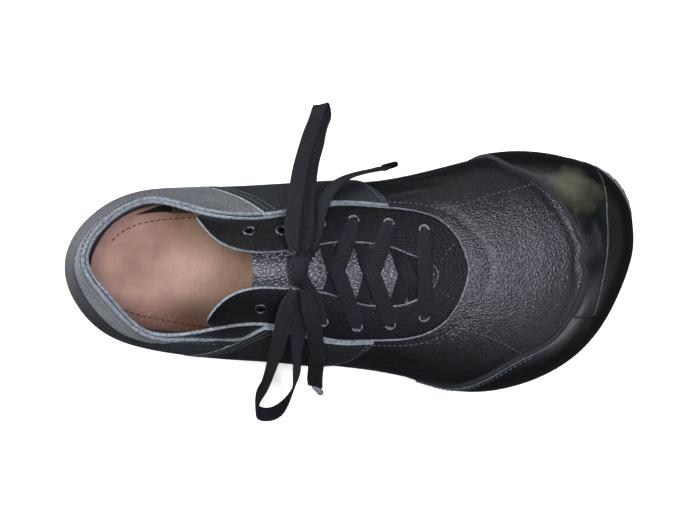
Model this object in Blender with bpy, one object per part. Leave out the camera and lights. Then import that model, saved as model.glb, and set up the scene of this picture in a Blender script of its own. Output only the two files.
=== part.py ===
"""Low barefoot shoe for the right foot, size about EU 42, standing empty on its sole.

Metres, +X to the toe, +Y to the inner (medial) side, +Z up. The origin is under the middle of the shoe.

Places round the shoe are hours on a 24-hour clock seen from above: 0 is the back of the heel, 6 the inner side,
12 the tip of the toe and 18 the outer side. Up the wall, level 0 is the feather line where the upper meets the
sole, level 1 the cut edge of the collar and throat, and level 2 the edge of the lacing gap in the facing.
"""

import math

import bmesh
import bpy
import numpy as np
from mathutils import Vector

# Driving sizes of the last
LENGTH = 0.2735
BALL_WIDTH = 0.112
HEEL_HEIGHT = 0.066
INSTEP_HEIGHT = 0.0845
TOE_HEIGHT = 0.0535
TOE_SPRING = 0.007
SPRING_START = 0.70

# Thicknesses
SOLE_THICKNESS = 0.0062
INSOLE_THICKNESS = 0.0030
WALL = 0.0016
OVERLAY = 0.0012
RAND_THICKNESS = 0.0010
FACING_THICKNESS = 0.0020
TONGUE_THICKNESS = 0.0018
GAP = 0.0003
OVERLAY_GAP = 0.0004

# Sole
SOLE_LIP = 0.0021
TOE_LIP = 0.0032
GROOVE_PITCH = 0.0116
GROOVE_WIDTH = 0.0018
GROOVE_DEPTH = 0.0016

# Lacing
LACE_WIDTH = 0.0078
LACE_THICKNESS = 0.0011
HOLE_RADIUS = 0.0023
EYELET_FLANGE_RADIUS = 0.0034
EYELET_BACK_RADIUS = 0.0030
EYELET_DROP = 0.0003
EYELET_BORE_RADIUS = 0.0016
EYELET_LIP = 0.0005
AGLET_LENGTH = 0.0110
AGLET_RADIUS = 0.0017
AGLET_STEP = 0.0007

HALF_WIDTH = BALL_WIDTH / 2
HOURS = 24
STEPS_PER_HOUR = 3
DENSER_FOOT = 1.25

# The feather line: hour, then x as a share of LENGTH from the heel and y as a share of HALF_WIDTH
FEATHER = [
    (0, 0.000, 0.01),
    (1, 0.049, 0.46),
    (2, 0.135, 0.63),
    (3, 0.243, 0.66),
    (4, 0.351, 0.64),
    (5, 0.460, 0.67),
    (6, 0.569, 0.75),
    (7, 0.685, 0.89),
    (8, 0.783, 1.00),
    (9, 0.872, 0.98),
    (10, 0.947, 0.84),
    (11, 0.990, 0.58),
    (12, 1.000, 0.31),
    (13, 0.991, 0.03),
    (14, 0.945, -0.46),
    (15, 0.871, -0.81),
    (16, 0.784, -0.98),
    (17, 0.695, -1.00),
    (18, 0.570, -0.88),
    (19, 0.460, -0.80),
    (20, 0.351, -0.75),
    (21, 0.243, -0.71),
    (22, 0.135, -0.62),
    (23, 0.049, -0.46),
]

# The cut edge of collar and throat: hour, x and y as above; along the throat it lies on the instep
TOPLINE = [
    (0, 0.037, 0.07),
    (1, 0.067, 0.39),
    (2, 0.143, 0.60),
    (3, 0.236, 0.51),
    (4, 0.350, 0.46),
    (5, 0.453, 0.56),
    (6, 0.533, 0.56),
    (7, 0.598, 0.53),
    (8, 0.645, 0.47),
    (9, 0.674, 0.37),
    (10, 0.692, 0.25),
    (11, 0.702, 0.13),
    (12, 0.707, 0.04),
    (13, 0.706, -0.05),
    (14, 0.694, -0.24),
    (15, 0.667, -0.44),
    (16, 0.632, -0.55),
    (17, 0.587, -0.60),
    (18, 0.525, -0.61),
    (19, 0.453, -0.59),
    (20, 0.351, -0.47),
    (21, 0.243, -0.53),
    (22, 0.143, -0.54),
    (23, 0.078, -0.24),
]

# The collar's height round the heel, as a share of HEEL_HEIGHT, with hours counted on past 24
COLLAR = [(20.0, 1.00), (21.0, 0.86), (22.0, 0.865), (23.0, 0.98), (24.0, 1.00), (25.0, 0.97), (26.0, 0.87)]
COLLAR += [(27.0, 0.86), (28.0, 1.00)]

# The edge of the lacing gap, from the inner collar corner round its point to the outer corner: hour, x, y
LACING_GAP = [
    (3.2, 0.246, 0.44),
    (3.45, 0.252, 0.36),
    (3.7, 0.268, 0.28),
    (4.1, 0.309, 0.195),
    (4.6, 0.378, 0.18),
    (5.2, 0.459, 0.25),
    (5.8, 0.508, 0.26),
    (6.6, 0.557, 0.23),
    (8.0, 0.599, 0.16),
    (10.0, 0.634, 0.09),
    (12.3, 0.655, -0.03),
    (14.5, 0.634, -0.21),
    (16.0, 0.592, -0.31),
    (17.3, 0.543, -0.32),
    (18.2, 0.501, -0.28),
    (19.0, 0.450, -0.20),
    (19.6, 0.378, -0.165),
    (20.0, 0.327, -0.175),
    (20.3, 0.294, -0.23),
    (20.6, 0.270, -0.32),
    (20.75, 0.257, -0.39),
    (20.9, 0.248, -0.46),
]

# How each wall stands: hour, then as shares of HEEL_HEIGHT how far its foot leans out and up, its top out and down
WALLS = [
    (0, 0.135, 0.30, 0.12, 0.36),
    (1, 0.105, 0.27, 0.08, 0.33),
    (3, 0.120, 0.27, 0.09, 0.33),
    (4, 0.150, 0.30, 0.21, 0.33),
    (5, 0.135, 0.30, 0.17, 0.16),
    (6, 0.090, 0.31, 0.18, 0.12),
    (7, 0.075, 0.33, 0.27, 0.13),
    (8, 0.075, 0.34, 0.40, 0.13),
    (10, 0.075, 0.37, 0.66, 0.14),
    (12, 0.075, 0.38, 0.78, 0.15),
    (14, 0.075, 0.36, 0.64, 0.14),
    (16, 0.075, 0.32, 0.34, 0.14),
    (17, 0.075, 0.31, 0.25, 0.14),
    (18, 0.080, 0.30, 0.17, 0.13),
    (19, 0.085, 0.30, 0.17, 0.16),
    (20, 0.095, 0.30, 0.18, 0.33),
    (21, 0.105, 0.27, 0.09, 0.33),
    (22, 0.105, 0.27, 0.06, 0.30),
    (23, 0.120, 0.27, 0.12, 0.36),
]

# The instep under facing and tongue: x, crest height as a share of INSTEP_HEIGHT, crest radius and y of HALF_WIDTH
INSTEP = [
    (0.20, 0.96, 0.34, 0.00),
    (0.35, 1.00, 0.38, 0.00),
    (0.45, 0.905, 0.60, -0.01),
    (0.53, 0.825, 0.80, -0.02),
    (0.62, 0.735, 0.98, -0.02),
    (0.72, 0.630, 1.25, -0.01),
]

# Upper edge of the toe cap and of the toe rand over it, as levels by hour
CAP_EDGE = [(7.2, 0.04), (8, 0.20), (9, 0.32), (10, 0.42), (11, 0.49), (12, 0.52), (13, 0.51), (14, 0.47)]
CAP_EDGE += [(15, 0.40), (16, 0.30), (17, 0.17), (17.8, 0.04)]
RAND_EDGE = [(9.6, 0.04), (10.3, 0.24), (11.2, 0.34), (12.2, 0.37), (13.2, 0.37), (14.2, 0.31), (15.0, 0.04)]

# The leaning ends of the saddle panels as hours by level, and the top edge of the heel quarter as levels by hour
SADDLE_INNER_BACK = [(0.0, 2.45), (0.35, 2.95), (0.7, 3.55), (1.0, 4.02)]
SADDLE_INNER_FRONT = [(0.0, 4.75), (0.35, 5.30), (0.7, 5.90), (1.0, 6.45)]
SADDLE_OUTER_FRONT = [(0.0, 19.70), (0.4, 19.15), (0.7, 18.45), (1.0, 17.80)]
SADDLE_OUTER_BACK = [(0.0, 21.80), (0.35, 21.30), (0.7, 20.60), (1.0, 19.98)]
HEEL_QUARTER_TOP = [(20.0, 0.93), (20.6, 0.84), (21.2, 0.90), (22.4, 0.90), (24.0, 0.94), (26.0, 0.97), (28.1, 0.97)]
SADDLE_TOP = 0.985

# Lace holes from the toe back, inner and outer side: x and y; the last two pairs carry metal eyelets
HOLES_INNER = [(0.630, 0.36), (0.567, 0.42), (0.505, 0.45), (0.447, 0.42), (0.381, 0.36), (0.323, 0.36)]
HOLES_OUTER = [(0.630, -0.41), (0.570, -0.48), (0.511, -0.50), (0.451, -0.46), (0.400, -0.38), (0.343, -0.35)]
PLAIN_PAIRS = 4

# The bow: places along its laces as x of LENGTH, y of HALF_WIDTH and z of INSTEP_HEIGHT, then the way its width lies
LOOP_INNER = [
    (0.402, 0.161, 0.975, 1, 0, 0),
    (0.398, 0.304, 0.954, 1, 0, 0),
    (0.400, 0.482, 0.897, 1, 0, 0),
    (0.404, 0.643, 0.822, 1, 0, 0),
    (0.409, 0.839, 0.692, 1, 0.05, 0),
    (0.418, 1.045, 0.503, 1, 0.1, 0),
    (0.429, 1.250, 0.284, 1, 0.15, 0),
    (0.440, 1.420, 0.101, 1, 0.2, 0),
    (0.446, 1.475, 0.036, 1, 0.2, 0.05),
    (0.449, 1.420, 0.019, 1, 0.2, 0.1),
    (0.445, 1.295, 0.101, 1, 0.15, 0.1),
    (0.437, 1.107, 0.290, 1, 0.1, 0),
    (0.429, 0.938, 0.485, 1, 0.05, 0),
    (0.425, 0.777, 0.657, 1, 0, 0),
    (0.422, 0.625, 0.783, 1, 0, 0),
    (0.422, 0.482, 0.854, 1, 0, 0),
    (0.421, 0.304, 0.918, 1, 0, 0),
    (0.418, 0.161, 0.954, 1, 0, 0),
]
LOOP_OUTER = [
    (0.401, -0.161, 0.956, 1, 0.1, 0),
    (0.391, -0.277, 0.952, 1, 0.2, 0),
    (0.383, -0.420, 0.914, 1, 0, 0.1),
    (0.375, -0.585, 0.835, 0.85, -0.3, 0.2),
    (0.365, -0.732, 0.692, 0.6, -0.65, 0.4),
    (0.354, -0.884, 0.515, 0.4, -0.8, 0.4),
    (0.340, -1.045, 0.296, 0.2, -0.85, 0.45),
    (0.327, -1.188, 0.101, 0.1, -0.85, 0.45),
    (0.332, -1.282, 0.032, 0, -0.85, 0.45),
    (0.355, -1.286, 0.030, 0, -0.85, 0.45),
    (0.380, -1.189, 0.059, -0.1, -0.8, 0.5),
    (0.395, -1.045, 0.195, -0.3, -0.8, 0.45),
    (0.402, -0.945, 0.410, -0.40, -0.80, 0.4),
    (0.404, -0.835, 0.615, -0.45, -0.80, 0.4),
    (0.406, -0.680, 0.768, -0.55, -0.70, 0.3),
    (0.408, -0.490, 0.848, -0.95, -0.3, 0.1),
    (0.411, -0.321, 0.903, -1, 0, 0),
    (0.414, -0.161, 0.938, -1, 0, 0),
]
END_INNER = [
    (0.429, 0.161, 0.934, 1, -0.1, 0.1),
    (0.436, 0.312, 0.892, 1, 0, 0.1),
    (0.444, 0.482, 0.831, 1, 0.1, 0.3),
    (0.457, 0.634, 0.769, 1, 0, 0.5),
    (0.478, 0.759, 0.675, 1, 0, 0.6),
    (0.507, 0.832, 0.527, 1, 0, 0.6),
    (0.531, 0.868, 0.367, 1, 0, 0.4),
    (0.549, 0.893, 0.210, 1, 0, 0.3),
    (0.559, 0.911, 0.128, 1, 0, 0.3),
]
END_OUTER = [
    (0.419, -0.161, 0.985, 1, 0, 0),
    (0.427, -0.304, 0.958, 1, 0, 0),
    (0.434, -0.464, 0.893, 1, 0, 0),
    (0.438, -0.616, 0.797, 1, 0, 0),
    (0.438, -0.759, 0.644, 1, 0, 0),
    (0.436, -0.875, 0.450, 1, 0, 0),
    (0.434, -0.964, 0.272, 1, -0.1, 0),
    (0.434, -1.030, 0.152, 1, -0.3, 0),
]
AGLET_INNER_WAY = (0.55, 0.20, -0.80)
AGLET_OUTER_WAY = (0.25, -0.35, -0.90)
KNOT_PLACE = (0.411, 0.0, 0.943)
KNOT_SIZE = (0.0090, 0.0140, 0.0084)


class Spline:
    """A natural cubic spline through table rows, each a knot and its values; with wrap it goes round the clock."""

    def __init__(self, rows, wrap=False):
        rows = [tuple(float(v) for v in row) for row in rows]
        if wrap:
            margin = 4
            before = [(row[0] - HOURS, *row[1:]) for row in rows[-margin:]]
            after = [(row[0] + HOURS, *row[1:]) for row in rows[:margin]]
            rows = before + rows + after
        table = np.array(rows)
        self.wrap = wrap
        self.knots, self.values = table[:, 0], table[:, 1:]
        self.bends = self.second_derivatives()

    def second_derivatives(self):
        knots, values = self.knots, self.values
        count = len(knots)
        matrix = np.eye(count)
        right = np.zeros_like(values)
        step = np.diff(knots)
        for i in range(1, count - 1):
            matrix[i, i - 1 : i + 2] = step[i - 1], 2 * (step[i - 1] + step[i]), step[i]
            rise = (values[i + 1] - values[i]) / step[i] - (values[i] - values[i - 1]) / step[i - 1]
            right[i] = 6 * rise
        return np.linalg.solve(matrix, right)

    def __call__(self, at):
        at = np.asarray(at, float)
        at = np.mod(at, HOURS) if self.wrap else np.clip(at, self.knots[0], self.knots[-1])
        i = np.clip(np.searchsorted(self.knots, at, side="right") - 1, 0, len(self.knots) - 2)
        step = (self.knots[i + 1] - self.knots[i])[..., None]
        b = (at - self.knots[i])[..., None] / step
        a = 1 - b
        bend = (a**3 - a) * self.bends[i] + (b**3 - b) * self.bends[i + 1]
        return a * self.values[i] + b * self.values[i + 1] + bend * step**2 / 6


feather_shares = Spline(FEATHER, wrap=True)
topline_shares = Spline(TOPLINE, wrap=True)
gap_shares = Spline(LACING_GAP)
wall_shares = Spline(WALLS, wrap=True)
instep_shares = Spline(INSTEP)
collar_shares = Spline(COLLAR)
cap_edge = Spline(CAP_EDGE)
rand_edge = Spline(RAND_EDGE)
heel_quarter_top = Spline(HEEL_QUARTER_TOP)


def plan(shares):
    """Shares along and across the last as x and y in metres, with x from the middle of the shoe."""
    return np.stack([(shares[..., 0] - 0.5) * LENGTH, shares[..., 1] * HALF_WIDTH], axis=-1)


def share_along(x):
    return x / LENGTH + 0.5


def spring(x):
    """How far the sole has curled up from the floor at x."""
    past = np.clip((share_along(x) - SPRING_START) / (1 - SPRING_START), 0, None)
    return TOE_SPRING * past**2


def feather(hour):
    return plan(feather_shares(hour))


def topline(hour):
    return plan(topline_shares(hour))


def outward(curve, hour):
    """Unit vectors in plan that point out of a curve which runs clockwise round the shoe."""
    step = 0.02
    along = curve(hour + step) - curve(hour - step)
    side = np.stack([-along[..., 1], along[..., 0]], axis=-1)
    return side / np.linalg.norm(side, axis=-1, keepdims=True)


def instep_height(x, y):
    crest = instep_shares(share_along(x))
    off_crest = y - crest[..., 2] * HALF_WIDTH
    return crest[..., 0] * INSTEP_HEIGHT - off_crest**2 / (2 * crest[..., 1] * HALF_WIDTH)


def over_instep(x, y, offset):
    """A point that far above the instep surface, along its normal."""
    x, y = np.broadcast_arrays(np.asarray(x, float), np.asarray(y, float))
    step = 0.0005
    slope_x = (instep_height(x + step, y) - instep_height(x - step, y)) / (2 * step)
    slope_y = (instep_height(x, y + step) - instep_height(x, y - step)) / (2 * step)
    normal = np.stack([-slope_x, -slope_y, np.ones_like(slope_x)], axis=-1)
    normal /= np.linalg.norm(normal, axis=-1, keepdims=True)
    point = np.stack([x, y, instep_height(x, y)], axis=-1)
    return point + normal * np.asarray(offset)[..., None]


def topline_height(hour):
    """The height of the cut edge: the collar's own round the heel, the instep's along the throat."""
    at = topline(hour)
    on_instep = instep_height(at[..., 0], at[..., 1])
    clock = np.mod(np.asarray(hour) + 4, HOURS) + 20
    collar = collar_shares(clock)[..., 0] * HEEL_HEIGHT
    part = np.clip(np.abs(clock - HOURS) - 3, 0, 1)
    part = part**2 * (3 - 2 * part)
    return collar + (on_instep - collar) * part


def last_point(hour, level):
    """The outer face of the upper, and past level 1 the instep as far as the lacing gap."""
    hour, level = np.broadcast_arrays(np.asarray(hour, float), np.asarray(level, float))
    foot_plan, top_plan = feather(hour), topline(hour)
    foot_z = spring(foot_plan[..., 0]) + SOLE_THICKNESS + GAP
    top_z = topline_height(hour)
    foot = np.concatenate([foot_plan, foot_z[..., None]], axis=-1)
    top = np.concatenate([top_plan, top_z[..., None]], axis=-1)
    lean = wall_shares(hour) * HEEL_HEIGHT
    foot_handle = np.concatenate([outward(feather, hour) * lean[..., 0:1], lean[..., 1:2]], axis=-1)
    top_handle = np.concatenate([outward(topline, hour) * lean[..., 2:3], -lean[..., 3:4]], axis=-1)
    t = np.clip(level, 0, 1)[..., None]
    wall = (1 - t) ** 3 * foot + 3 * (1 - t) ** 2 * t * (foot + foot_handle)
    wall += 3 * (1 - t) * t**2 * (top + top_handle) + t**3 * top
    past = np.clip(level - 1, 0, 1)[..., None]
    on_instep = top_plan + (plan(gap_shares(hour)) - top_plan) * past
    x, y = on_instep[..., 0], on_instep[..., 1]
    step_up = top_z - instep_height(top_plan[..., 0], top_plan[..., 1])
    z = instep_height(x, y) + step_up * (1 - past[..., 0]) ** 2
    return np.where(level[..., None] > 1, np.stack([x, y, z], axis=-1), wall)


def last_normal(hour, level):
    step_hour, step_level = 0.03, 0.012
    along = last_point(hour + step_hour, level) - last_point(hour - step_hour, level)
    lower, upper = np.clip(level - step_level, 0, 2), np.clip(level + step_level, 0, 2)
    up = last_point(hour, upper) - last_point(hour, lower)
    normal = np.cross(up, along)
    return normal / np.linalg.norm(normal, axis=-1, keepdims=True)


def material(name, colour, roughness, metallic=0.0):
    found = bpy.data.materials.get(name)
    if found:
        return found
    made = bpy.data.materials.new(name)
    made.use_nodes = True
    shader = made.node_tree.nodes["Principled BSDF"]
    shader.inputs["Base Color"].default_value = (*colour, 1)
    shader.inputs["Roughness"].default_value = roughness
    shader.inputs["Metallic"].default_value = metallic
    made.diffuse_color = (*colour, 1)
    return made


BLACK_LEATHER = ("black_leather", (0.012, 0.013, 0.016), 0.45)
SMOOTH_LEATHER = ("smooth_leather", (0.010, 0.010, 0.011), 0.35)
BLACK_RUBBER = ("black_rubber", (0.016, 0.016, 0.018), 0.60)
TAN_LEATHER = ("tan_leather", (0.42, 0.25, 0.19), 0.75)
BLACK_COTTON = ("black_cotton", (0.008, 0.008, 0.012), 0.85)
DARK_NICKEL = ("dark_nickel", (0.30, 0.30, 0.31), 0.30, 1.0)
CLEAR_PLASTIC = ("grey_plastic", (0.25, 0.27, 0.28), 0.35)


def finish(name, mesh_data, look, sharp_degrees=40):
    """One closed mesh as a named object with its material, its faces turned outwards."""
    work = bmesh.new()
    work.from_mesh(mesh_data)
    bmesh.ops.remove_doubles(work, verts=work.verts, dist=1e-7)
    bmesh.ops.recalc_face_normals(work, faces=work.faces)
    work.to_mesh(mesh_data)
    work.free()
    mesh_data.shade_smooth()
    mesh_data.set_sharp_from_angle(angle=math.radians(sharp_degrees))
    mesh_data.materials.append(material(*look))
    made = bpy.data.objects.new(name, mesh_data)
    bpy.context.scene.collection.objects.link(made)
    return made


def mesh_from(name, points, faces):
    made = bpy.data.meshes.new(name)
    made.from_pydata([tuple(p) for p in points], [], faces)
    made.update()
    return made


def thick_grid(name, outer, inner, look, wrap=False):
    """A closed solid between two grids of points; the first index goes round the shoe, the second up it."""
    columns, rows = outer.shape[:2]
    count = columns * rows
    points = np.concatenate([outer.reshape(-1, 3), inner.reshape(-1, 3)])

    def at(column, row, side=0):
        return side * count + (column % columns) * rows + row

    faces = []
    for i in range(columns if wrap else columns - 1):
        for j in range(rows - 1):
            faces.append((at(i, j), at(i, j + 1), at(i + 1, j + 1), at(i + 1, j)))
            faces.append((at(i, j, 1), at(i + 1, j, 1), at(i + 1, j + 1, 1), at(i, j + 1, 1)))
        for j, turn in ((0, 1), (rows - 1, -1)):
            faces.append((at(i, j), at(i + 1, j), at(i + 1, j, 1), at(i, j, 1))[::turn])
    if not wrap:
        for i in (0, columns - 1):
            for j in range(rows - 1):
                faces.append((at(i, j), at(i, j + 1), at(i, j + 1, 1), at(i, j, 1)))
    return finish(name, mesh_from(name, points, faces), look)


def shell(name, hours, levels, low, high, look, wrap=False):
    """A piece that follows the last between two distances from it, over a grid of hours and levels."""
    base, normal = last_point(hours, levels), last_normal(hours, levels)
    faces = []
    for distance in (high, low):
        points = base + normal * distance
        seat = spring(points[..., 0]) + SOLE_THICKNESS + GAP
        points[..., 2] = np.where(levels <= 0, seat, np.maximum(points[..., 2], seat))
        faces.append(points)
    return thick_grid(name, *faces, look, wrap)


def patch(first, last, columns, level_rows, rows):
    """Grids of hours and levels for a panel from hour first to last, with levels from level_rows(hour, share)."""
    hours = np.linspace(first, last, columns)[:, None] * np.ones(rows)
    share = np.ones(columns)[:, None] * np.linspace(0, 1, rows)
    return hours, level_rows(hours, share)


def build_upper():
    """Vamp and quarters in one hollow wall, open at collar and throat, and underneath."""
    rows = 9
    hours = np.arange(HOURS * STEPS_PER_HOUR)[:, None] / STEPS_PER_HOUR * np.ones(rows)
    levels = np.ones(len(hours))[:, None] * np.linspace(0, 1, rows) ** DENSER_FOOT
    return shell("upper", hours, levels, -WALL, 0, BLACK_LEATHER, wrap=True)


def build_toe_cap():
    first, last = CAP_EDGE[0][0], CAP_EDGE[-1][0]
    grid = patch(first, last, 34, lambda hour, share: cap_edge(hour)[..., 0] * share, 6)
    return shell("toe_cap", *grid, OVERLAY_GAP, OVERLAY_GAP + OVERLAY, SMOOTH_LEATHER)


def build_toe_rand():
    first, last = RAND_EDGE[0][0], RAND_EDGE[-1][0]
    low = OVERLAY_GAP + OVERLAY + OVERLAY_GAP
    grid = patch(first, last, 22, lambda hour, share: rand_edge(hour)[..., 0] * share, 5)
    return shell("toe_rand", *grid, low, low + RAND_THICKNESS, BLACK_RUBBER)


def build_saddle(name, back, front):
    """A side panel over the wall, between two leaning ends, with its rows closer at foot and top."""
    columns, rows = 10, 11
    even = np.linspace(0, 1, rows)
    levels = np.ones(columns)[:, None] * (even - 0.6 * np.sin(2 * math.pi * even) / (2 * math.pi)) * SADDLE_TOP
    ends = [Spline(table)(levels)[..., 0] for table in (back, front)]
    share = np.linspace(0, 1, columns)[:, None]
    hours = ends[0] + (ends[1] - ends[0]) * share
    return shell(name, hours, levels, OVERLAY_GAP, OVERLAY_GAP + OVERLAY, BLACK_LEATHER)


def build_heel_quarter():
    """The outer heel panel, from one saddle round the heel to the other, under the collar's own edge."""
    columns, rows = 44, 9
    outer_end, inner_end = Spline(SADDLE_OUTER_BACK), Spline(SADDLE_INNER_BACK)
    clear = 0.03
    share = np.linspace(0, 1, columns)[:, None]
    up = np.linspace(0, 1, rows)[None, :] ** DENSER_FOOT * np.ones((columns, 1))
    levels = up
    for _ in range(4):
        start = outer_end(levels)[..., 0] + clear
        end = inner_end(levels)[..., 0] + HOURS - clear
        hours = start + (end - start) * share
        levels = up * heel_quarter_top(hours)[..., 0]
    return shell("heel_quarter", hours, levels, OVERLAY_GAP, OVERLAY_GAP + OVERLAY, BLACK_LEATHER)


def hole_points():
    """Plan places of the lace holes, inner then outer, from the toe back."""
    return [plan(np.array(row)) for row in HOLES_INNER], [plan(np.array(row)) for row in HOLES_OUTER]


FACING_TOP = -(WALL + OVERLAY_GAP)
FACING_BOTTOM = FACING_TOP - FACING_THICKNESS
TUCK_LEVEL = 0.16


def cylinder_along(name, centre, axis, radius, low, high, sides):
    """A closed cylinder mesh from low to high along an axis through centre."""
    axis = Vector(axis).normalized()
    turn = Vector((0, 0, 1)).rotation_difference(axis)
    points = []
    for height in (low, high):
        for k in range(sides):
            angle = 2 * math.pi * k / sides
            rim = Vector((radius * math.cos(angle), radius * math.sin(angle), height))
            points.append(Vector(centre) + turn @ rim)
    faces = [tuple(reversed(range(sides))), tuple(range(sides, 2 * sides))]
    faces += [(k, (k + 1) % sides, sides + (k + 1) % sides, sides + k) for k in range(sides)]
    return mesh_from(name, points, faces)


def cut(target, cutters):
    """Cuts closed meshes out of an object, then deletes them."""
    joined = bmesh.new()
    for cutter in cutters:
        joined.from_mesh(cutter)
    data = bpy.data.meshes.new("cutter")
    joined.to_mesh(data)
    joined.free()
    tool = bpy.data.objects.new("cutter", data)
    bpy.context.scene.collection.objects.link(tool)
    apply_boolean(target, tool, "DIFFERENCE")


def apply_boolean(target, tool, operation):
    change = target.modifiers.new("joint", "BOOLEAN")
    change.operation = operation
    change.solver = "EXACT"
    change.object = tool
    graph = bpy.context.evaluated_depsgraph_get()
    result = bpy.data.meshes.new_from_object(target.evaluated_get(graph))
    target.modifiers.remove(change)
    target.data = result
    bpy.data.objects.remove(tool)


def on_facing(x, y):
    """The hour and level of the facing at a place in plan, by small steps from a coarse search."""
    hours, levels = np.meshgrid(np.linspace(LACING_GAP[0][0], LACING_GAP[-1][0], 240), np.linspace(1, 2, 24), indexing="ij")
    far = np.linalg.norm(last_point(hours, levels)[..., :2] - np.array([x, y]), axis=-1)
    nearest = np.unravel_index(np.argmin(far), far.shape)
    at = np.array([hours[nearest], levels[nearest]])
    for _ in range(12):
        here = last_point(*at)[:2]
        by_hour = (last_point(at[0] + 0.01, at[1])[:2] - here) / 0.01
        by_level = (here - last_point(at[0], at[1] - 0.01)[:2]) / 0.01
        at = at + np.linalg.solve(np.stack([by_hour, by_level], axis=1), np.array([x, y]) - here)
    return at


def hole_axis(x, y):
    """The middle of a lace hole in the facing's thickness and the way it is punched."""
    hour, level = on_facing(x, y)
    normal = last_normal(hour, level)
    return last_point(hour, level) + normal * (FACING_TOP + FACING_BOTTOM) / 2, normal


def build_facing():
    """The laced eyestay, tucked under the cut edge of the vamp, with its lace holes punched through."""
    first, last = LACING_GAP[0][0], LACING_GAP[-1][0]
    levels = np.array([1 - TUCK_LEVEL, 1 - TUCK_LEVEL / 2, 1.0, 1.33, 1.67, 2.0])
    columns = 46
    hours = np.linspace(first, last, columns)[:, None] * np.ones(len(levels))
    levels = np.ones(columns)[:, None] * levels
    made = shell("facing", hours, levels, FACING_BOTTOM, FACING_TOP, BLACK_LEATHER)
    drills = []
    for side in hole_points():
        for x, y in side:
            drills.append(cylinder_along("drill", *hole_axis(x, y), HOLE_RADIUS, -0.005, 0.005, 12))
    cut(made, drills)
    return made


def build_eyelet(name, x, y):
    """A metal eyelet: a barrel through the facing with a rolled flange on each face."""
    barrel = HOLE_RADIUS - GAP
    reach = FACING_THICKNESS / 2 + GAP
    under = reach + EYELET_DROP
    profile = [
        (EYELET_BORE_RADIUS, -under - EYELET_LIP),
        (EYELET_BACK_RADIUS - 0.0004, -under - EYELET_LIP),
        (EYELET_BACK_RADIUS, -under),
        (barrel, -under),
        (barrel, reach),
        (EYELET_FLANGE_RADIUS, reach),
        (EYELET_FLANGE_RADIUS - 0.0004, reach + EYELET_LIP),
        (EYELET_BORE_RADIUS + 0.0003, reach + EYELET_LIP),
        (EYELET_BORE_RADIUS, reach),
    ]
    sides = 10
    centre, normal = (Vector(v) for v in hole_axis(x, y))
    turn = Vector((0, 0, 1)).rotation_difference(normal)
    points, faces = [], []
    for k in range(sides):
        angle = 2 * math.pi * k / sides
        for radius, height in profile:
            points.append(centre + turn @ Vector((radius * math.cos(angle), radius * math.sin(angle), height)))
    rows = len(profile)
    for k in range(sides):
        for j in range(rows):
            here, there = k * rows, (k + 1) % sides * rows
            faces.append((here + j, here + (j + 1) % rows, there + (j + 1) % rows, there + j))
    return finish(name, mesh_from(name, points, faces), DARK_NICKEL)


# The tongue's surface under the facing, and how far it swells up into the lacing gap
TONGUE_TOP = FACING_BOTTOM - GAP - LACE_THICKNESS - GAP
TONGUE_SWELL = 0.0004
TONGUE_BACK = 0.320
TONGUE_HOLLOW = 0.034
TONGUE_FRONT = 0.672
TONGUE_TUCK = 0.0075


def gap_sides(x):
    """The inner and outer y of the lacing gap at x."""
    hours = np.linspace(3.9, 20.1, 400)
    edge = plan(gap_shares(hours))
    split = int(np.argmax(edge[:, 0]))
    inner, outer = edge[: split + 1], edge[split:][::-1]
    return np.interp(x, inner[:, 0], inner[:, 1]), np.interp(x, outer[:, 0], outer[:, 1])


def build_tongue():
    """A tongue with a hollow back end, sewn in at the point of the lacing gap."""
    columns, rows = 18, 9
    along = np.linspace(0, 1, columns)[:, None]
    across = np.linspace(-1, 1, rows)[None, :]
    back = TONGUE_BACK + TONGUE_HOLLOW * (1 - across**2)
    x = (back + (TONGUE_FRONT - back) * along - 0.5) * LENGTH
    inner, outer = gap_sides(x)
    middle, half = (inner + outer) / 2, (inner - outer) / 2 + TONGUE_TUCK
    y = middle + half * across
    swell = TONGUE_SWELL * np.clip(1 - (across * half / np.clip(half - TONGUE_TUCK - 0.002, 0.001, None)) ** 2, 0, 1)
    top = over_instep(x, y, TONGUE_TOP + swell)
    bottom = over_instep(x, y, TONGUE_TOP - TONGUE_THICKNESS + swell)
    return thick_grid("tongue", top, bottom, BLACK_LEATHER)


def plate(name, rim, low, high, look, shares):
    """A closed plate over the plan curve rim(hour), between two height functions of x, y and the ring's share."""
    hours = np.arange(HOURS * STEPS_PER_HOUR) / STEPS_PER_HOUR
    edge = rim(hours)
    spine_x = np.clip(edge[:, 0], -0.30 * LENGTH, 0.28 * LENGTH)
    spine = np.stack([spine_x, np.zeros_like(spine_x)], axis=-1)
    count = len(hours)
    points, faces = [], []
    for height in (low, high):
        for share in shares:
            ring = spine + (edge - spine) * share
            z = height(ring[:, 0], ring[:, 1], share)
            points.append(np.concatenate([ring, z[:, None]], axis=-1))
    points = np.concatenate(points)
    rings = len(shares)
    for side in range(2):
        for k in range(rings - 1):
            first, second = (side * rings + k) * count, (side * rings + k + 1) * count
            faces += [(first + i, first + (i + 1) % count, second + (i + 1) % count, second + i) for i in range(count)]
    for i in range(count):
        faces.append((i, (i + 1) % count, rings * count + (i + 1) % count, rings * count + i))
    data = mesh_from(name, points, faces)
    fill_inner_rings(data, count, rings)
    return finish(name, data, look)


def fill_inner_rings(data, count, rings):
    """Closes the middle of a plate with strips that run across it, so that it keeps its curve along the shoe."""
    work = bmesh.new()
    work.from_mesh(data)
    work.verts.ensure_lookup_table()
    half = count // 2
    for side in range(2):
        first = (side * rings + rings - 1) * count
        ring = [work.verts[first + i] for i in range(count)]
        for i in range(half):
            corners = [ring[i], ring[i + 1], ring[(count - i - 1) % count], ring[(count - i) % count]]
            unique = list(dict.fromkeys(corners))
            if len(unique) > 2:
                work.faces.new(unique)
    work.to_mesh(data)
    work.free()


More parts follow.
